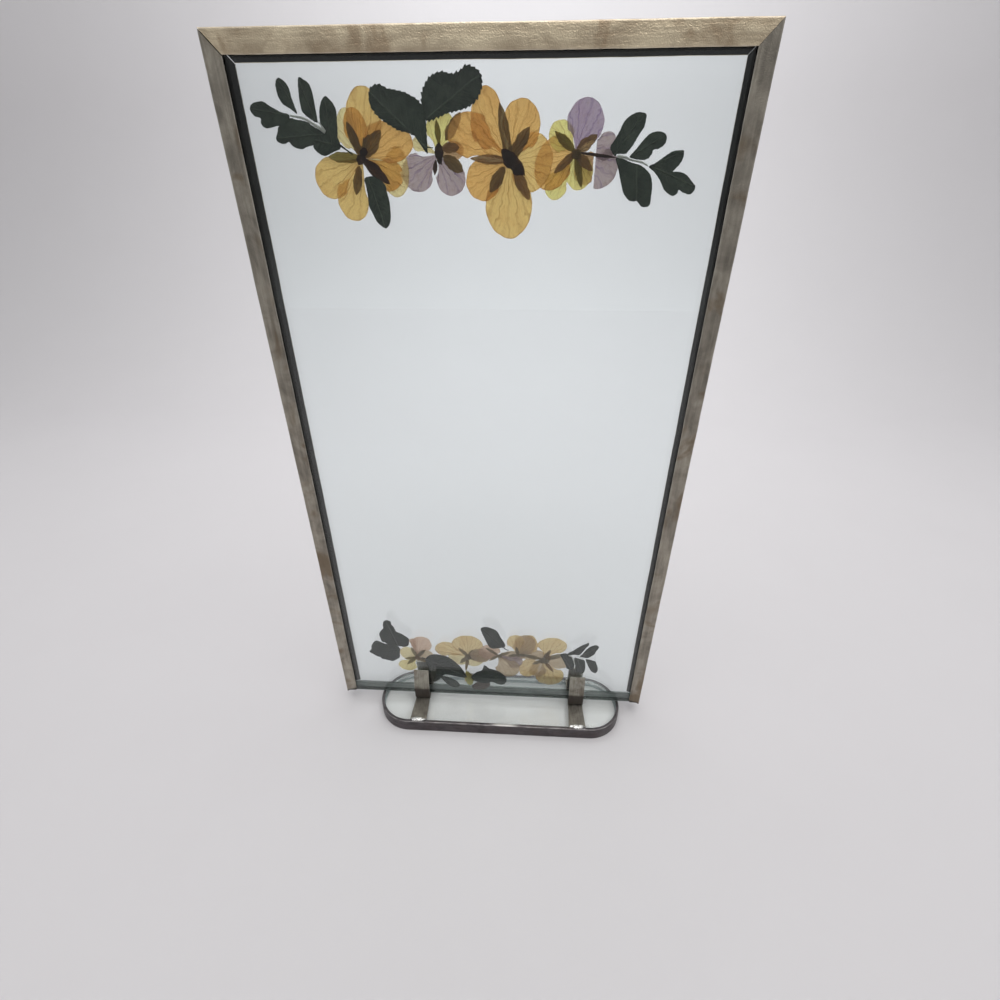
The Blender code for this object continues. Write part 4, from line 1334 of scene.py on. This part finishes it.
def stageSheet():
    # a pale sheet: flat floor, a quarter circle, and a wall, carried straight across
    radius, start, tall = 0.55, 0.55, 2.4
    turn = np.linspace(0, np.pi / 2, 24)
    y = np.concatenate([[-2.0, -0.5], start + radius * np.sin(turn), [start + radius]])
    z = np.concatenate([[0, 0], radius - radius * np.cos(turn), [tall]])
    x = np.linspace(-3.2, 3.2, 9)
    grid = np.stack(np.broadcast_arrays(x[None], y[:, None], z[:, None]), axis=-1)
    rows, columns = grid.shape[:2]
    index = np.arange(rows * columns).reshape(rows, columns)
    faces = np.stack([index[:-1, :-1], index[:-1, 1:], index[1:, 1:], index[1:, :-1]],
            axis=-1).reshape(-1, 4)
    mesh = bpy.data.meshes.new("stageSheet")
    mesh.from_pydata(grid.reshape(-1, 3).tolist(), [], faces.tolist())
    mesh.shade_smooth()
    material, wire = newMaterial("paleStage")
    grain = objectPlace(wire).noise(9.0, 3.0, 0.6)
    base = wire.blend((0.675, 0.655, 0.665), (0.695, 0.675, 0.685), grain)
    finishMaterial(material, wire, {"Base Color": base, "Roughness": 0.8, "Specular IOR Level": 0.1})
    mesh.materials.append(material)
    sheet = bpy.data.objects.new("stageSheet", mesh)
    bpy.context.scene.collection.objects.link(sheet)


def areaLight(name, place, aim, size, power, colour):
    light = bpy.data.lights.new(name, "AREA")
    light.shape = "DISK"
    light.size = size
    light.energy = power
    light.color = colour
    lamp = bpy.data.objects.new(name, light)
    bpy.context.scene.collection.objects.link(lamp)
    direction = np.array(aim, float) - np.array(place, float)
    backward = -direction / np.linalg.norm(direction)
    right = np.cross((0, 0, 1.0), backward)
    right /= np.linalg.norm(right)
    up = np.cross(backward, right)
    columns = np.stack([right, up, backward], axis=1)
    lamp.matrix_world = Matrix.Translation(place) @ Matrix(columns.tolist()).to_4x4()


studioLook = {
    "room": (0.97, 0.985, 1.0), "strength": 0.62, "greyer": 0.42, "overhead": 9.0, "behind": 4.6,
}


def studio():
    world = bpy.data.worlds.new("softWorld")
    bpy.context.scene.world = world
    world.use_nodes = True
    # a pale room all round, softly greyer in front at eye height, so the panes mirror less of it
    start = Wire(world.node_tree)
    _, y, z = start.node("ShaderNodeTexCoord", {}, {}, "Generated").parts()
    opening = (y * -1).step(0.10, 0.85) * z.step(0.14, 0.42, 1.0, 0.0) * z.step(-0.20, 0.06)
    background = world.node_tree.nodes["Background"]
    background.inputs["Color"].default_value = (*studioLook["room"], 1)
    world.node_tree.links.new((studioLook["strength"] - opening * studioLook["greyer"]).socket,
            background.inputs["Strength"])
    areaLight("overhead", (0.15, -0.35, 1.5), (0.0, 0.0, 0.0), 1.3, studioLook["overhead"],
            (1.0, 0.985, 0.97))
    areaLight("behind", (0.0, 0.50, 1.0), (0.0, 1.1, 0.42), 0.9, studioLook["behind"], (0.96, 0.985, 1.0))
    bpy.context.scene.view_settings.view_transform = "Standard"


cameraPlace = {"x": 17.83, "y": -223.62, "z": 291.78, "down": 29.18, "left": 3.01, "roll": -0.066,
        "lens": 17.167}


def camera():
    # the view axis from its two angles, then the roll turns right and down about it
    data = bpy.data.cameras.new("camera")
    data.lens = cameraPlace["lens"]
    data.sensor_width = 36
    data.clip_start = 0.01
    view = bpy.data.objects.new("camera", data)
    bpy.context.scene.collection.objects.link(view)
    down, side, roll = (math.radians(v) for v in (cameraPlace["down"], -cameraPlace["left"],
            cameraPlace["roll"]))
    ahead = np.array([math.sin(side) * math.cos(down), math.cos(side) * math.cos(down), -math.sin(down)])
    right = np.cross(ahead, (0, 0, 1.0))
    right /= np.linalg.norm(right)
    below = np.cross(ahead, right)
    tilted = right * math.cos(roll) + below * math.sin(roll)
    dropped = -right * math.sin(roll) + below * math.cos(roll)
    columns = np.stack([tilted, -dropped, -ahead], axis=1)
    place = [middleX + cameraPlace["x"] * mm, cameraPlace["y"] * mm, cameraPlace["z"] * mm]
    view.matrix_world = Matrix.Translation(place) @ Matrix(columns.tolist()).to_4x4()
    bpy.context.scene.camera = view


stageSheet()
studio()
camera()
print("stage, light and camera made")
